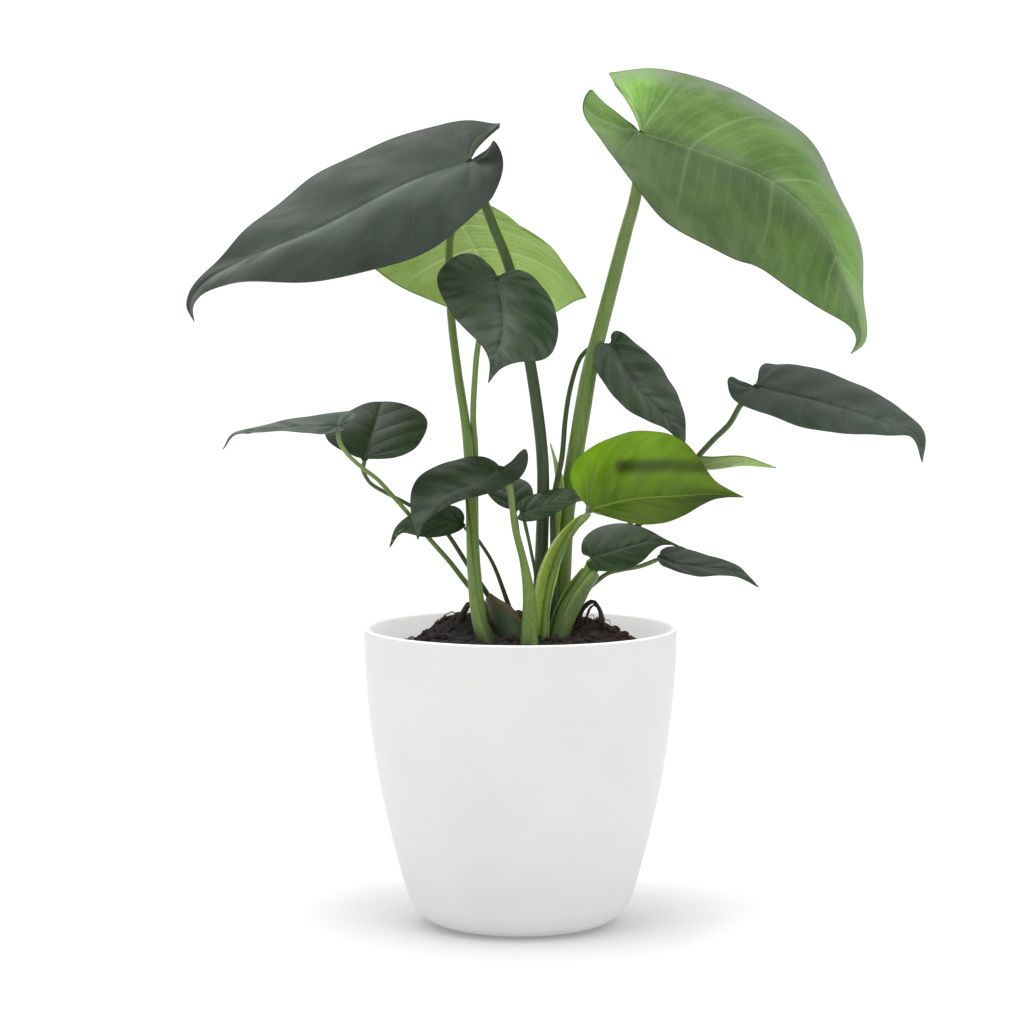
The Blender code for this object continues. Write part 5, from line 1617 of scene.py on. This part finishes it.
def sheath_mesh(points, radii, spans, facing, thick=0.8, climb=0.6, rim=0.5):
    """A gutter that is open towards facing. Points, radii and thickness are in mm, spans in degrees.

    Climb and rim are how far its finish changes, along it and out to its rims, to that of a stalk's top."""
    centres, _ = even_curve([Vector(p) * MM for p in points], SHEATH_STEPS)
    facing = Vector(facing)
    bm = bmesh.new()
    along = bm.verts.layers.float.new("along")
    rows = []
    for index, centre in enumerate(centres):
        share = index / SHEATH_STEPS
        ahead = (centres[min(index + 1, SHEATH_STEPS)] - centres[max(index - 1, 0)]).normalized()
        open_way = (facing - ahead * facing.dot(ahead)).normalized()
        second = ahead.cross(open_way)
        radius = at_fraction(radii, share) * MM
        span = math.radians(at_fraction(spans, share))
        outer, inner = [], []
        for step in range(SHEATH_SIDES + 1):
            across = step / SHEATH_SIDES * 2 - 1
            angle = math.pi + across * span / 2
            way = open_way * math.cos(angle) + second * math.sin(angle)
            reach = radius * (1 + 0.06 * noise.noise(centre * 70 + way) + 0.10 * across ** 4)
            depth = thick * MM * (1 - 0.7 * across ** 4)
            for line, distance in ((outer, reach), (inner, reach - depth)):
                vert = bm.verts.new(centre + way * distance)
                towards_top = share * climb + rim * across ** 6 * ease(share, 0.05, 0.4)
                vert[along] = min(towards_top, 1.0)
                line.append(vert)
        rows.append(outer + inner[::-1])
    join_rings(bm, rows)
    around = len(rows[0])
    for row in (rows[0], rows[-1]):
        for k in range(SHEATH_SIDES):
            bm.faces.new((row[k], row[k + 1], row[around - 2 - k], row[around - 1 - k]))
    bmesh.ops.recalc_face_normals(bm, faces=bm.faces)
    return bm


# %% Sheaths
SHEATHS = {
    "bright_right": ("lime", (4.6, 5.6, 6.2, 5.0, 2.4), (190, 185, 190, 175, 100), (0.72, -0.68, 0.1), (
        (12, -25, 162), (13, -19, 188), (18, -14, 209), (24, -16, 222), (31, -21, 232), (36, -24, 237))),
    "low_right": ("fresh", (5.4, 7.0, 7.4, 6.4), (240, 240, 235, 215), (-0.72, -0.35, 0.6), (
        (20, -18, 161), (25, -14, 180), (33, -9, 195), (40, -5, 205))),
    "tall_right": ("lime", (6.6, 6.8, 6.6, 6.0, 4.5, 1.0), (150, 130, 125, 150, 170, 120), (0.9, 0.2, 0.1), (
        (21, 4, 175), (23, 11, 205), (24, 15, 232), (25, 16, 252), (22, 15, 266), (18, 14, 277))),
    "tall_back": ("green", (5.4, 4.6, 3.8, 2.6), (250, 220, 180, 50), (0.9, -0.35, 0.1), (
        (-17, -26, 161), (-23, -22, 179), (-26, -14, 206), (-28, -3, 240), (-30, 1, 262))),
    "low_left": ("pale", (6.4, 4.8, 2.4), (200, 160, 60), (0.85, 0.5, 0.1), (
        (7, -33, 160), (6, -31, 176), (5, -30, 191))),
}
for leaf, (finish, radii, spans, facing, points) in SHEATHS.items():
    gutter = sheath_mesh(points, radii, spans, facing)
    piece("sheath_" + leaf, gutter, [stalk_finishes[finish]], "stalk_green")
print("sheaths:", len(SHEATHS))

# %% Old sheath
OLD_SHEATH_LINE = ((4, -17, 157), (-3, -13, 170), (-10, -7, 181), (-17, -2, 190))
dry_finish = stalk_finish("dry_sheath", (0.022, 0.040, 0.012), (0.036, 0.062, 0.020), (0.20, 0.105, 0.055),
                          (0.070, 0.085, 0.040), roughness=0.6)
old_mesh = sheath_mesh(OLD_SHEATH_LINE, radii=(9.5, 9.0, 7.5, 3.5), spans=(170, 165, 150, 90),
                       facing=(0.25, 1.0, 0.35), thick=1.2, climb=0.85, rim=1.4)
piece("standing_old_sheath", old_mesh, [dry_finish], "dry_sheath", "old_sheath")
print("the old sheath leans", OLD_SHEATH_LINE[0][0] - OLD_SHEATH_LINE[-1][0], "mm to the left")

# %% Roots
root_finish = stalk_finish("dark_root", (0.020, 0.013, 0.010), (0.030, 0.021, 0.016), (0.045, 0.032, 0.024),
                           (0.085, 0.062, 0.045), roughness=0.75)
ROOTS = {
    "root_loop": ((1.9, 1.1, 1.3), (
        (32, 4, 169), (34, 4, 178), (38, 4, 184), (42, 5, 186), (45, 6, 183), (47, 6, 177), (48, 6, 169))),
    "root_thread": ((0.9, 0.7, 0.6), (
        (37, 2, 168), (38, 1, 176), (40, 3, 182), (43, 4, 184), (46, 3, 179), (45, 2, 170))),
    "root_stub": ((2.8, 2.2, 1.2), ((-37, 14, 168), (-34, 13, 176), (-31, 13, 182), (-29, 12, 185))),
}
for name, (radii, points) in ROOTS.items():
    nodes = [] if name == "root_thread" else [name]  # the thread is too thin to be in the solid model
    root_mesh = stalk_mesh(points, radii, groove=0.0, joint=0.0, lumps=0.6)
    piece("standing_" + name, root_mesh, [root_finish], "dry_sheath", *nodes)
print("roots:", len(ROOTS))

# %% [markdown]
# ## Floor
#
# The floor is a wide white sheet. Away from the pot it glows slightly, which stands for the light that
# a white room throws back at it, so it melts into the white room. Beside the pot it does not glow: that
# ring is a painted shadow round the pot, which deepens the soft shadow where the pot touches the floor.

# %% Floor
FLOOR_REACH = 12.0
FLOOR_DROP = 0.0002  # the floor lies this much below the pot
FLOOR_GLOW = 0.22
# Inside GLOW_START the floor does not glow: a painted shadow round the pot, which fades out by GLOW_END.
GLOW_START, GLOW_END = 0.072, 0.19  # how far from the middle the floor begins to glow, and glows fully

floor_finish, tree, shader = principled("studio_floor", 0.9, specular=0.0)
grainy = use_group(tree, mottling, Cloud_scale=3.0, Grain_scale=400.0)
tree.links.new(mix_colour(tree, grainy.outputs["Clouds"], (0.79, 0.79, 0.79), (0.80, 0.80, 0.80)),
               shader.inputs["Base Color"])
place = add(tree, "ShaderNodeTexCoord").outputs["Object"]
distance = add(tree, "ShaderNodeVectorMath", {0: place}, operation="LENGTH").outputs["Value"]
# The glow grows with the distance from the middle, so the floor is painted darker round the pot.
tree.links.new(mix_colour(tree, fade(tree, distance, GLOW_START, GLOW_END), (0, 0, 0), (1, 1, 1)),
               shader.inputs["Emission Color"])
shader.inputs["Emission Strength"].default_value = FLOOR_GLOW
bm = bmesh.new()
bmesh.ops.create_grid(bm, x_segments=8, y_segments=8, size=FLOOR_REACH)
floor_mesh = bpy.data.meshes.new("studio_floor")
bm.to_mesh(floor_mesh)
bm.free()
floor_mesh.materials.append(floor_finish)
studio_floor = bpy.data.objects.new("studio_floor", floor_mesh)
studio_floor.location.z = -FLOOR_DROP
scene.collection.objects.link(studio_floor)
print("the floor reaches", FLOOR_REACH, "m to each side")
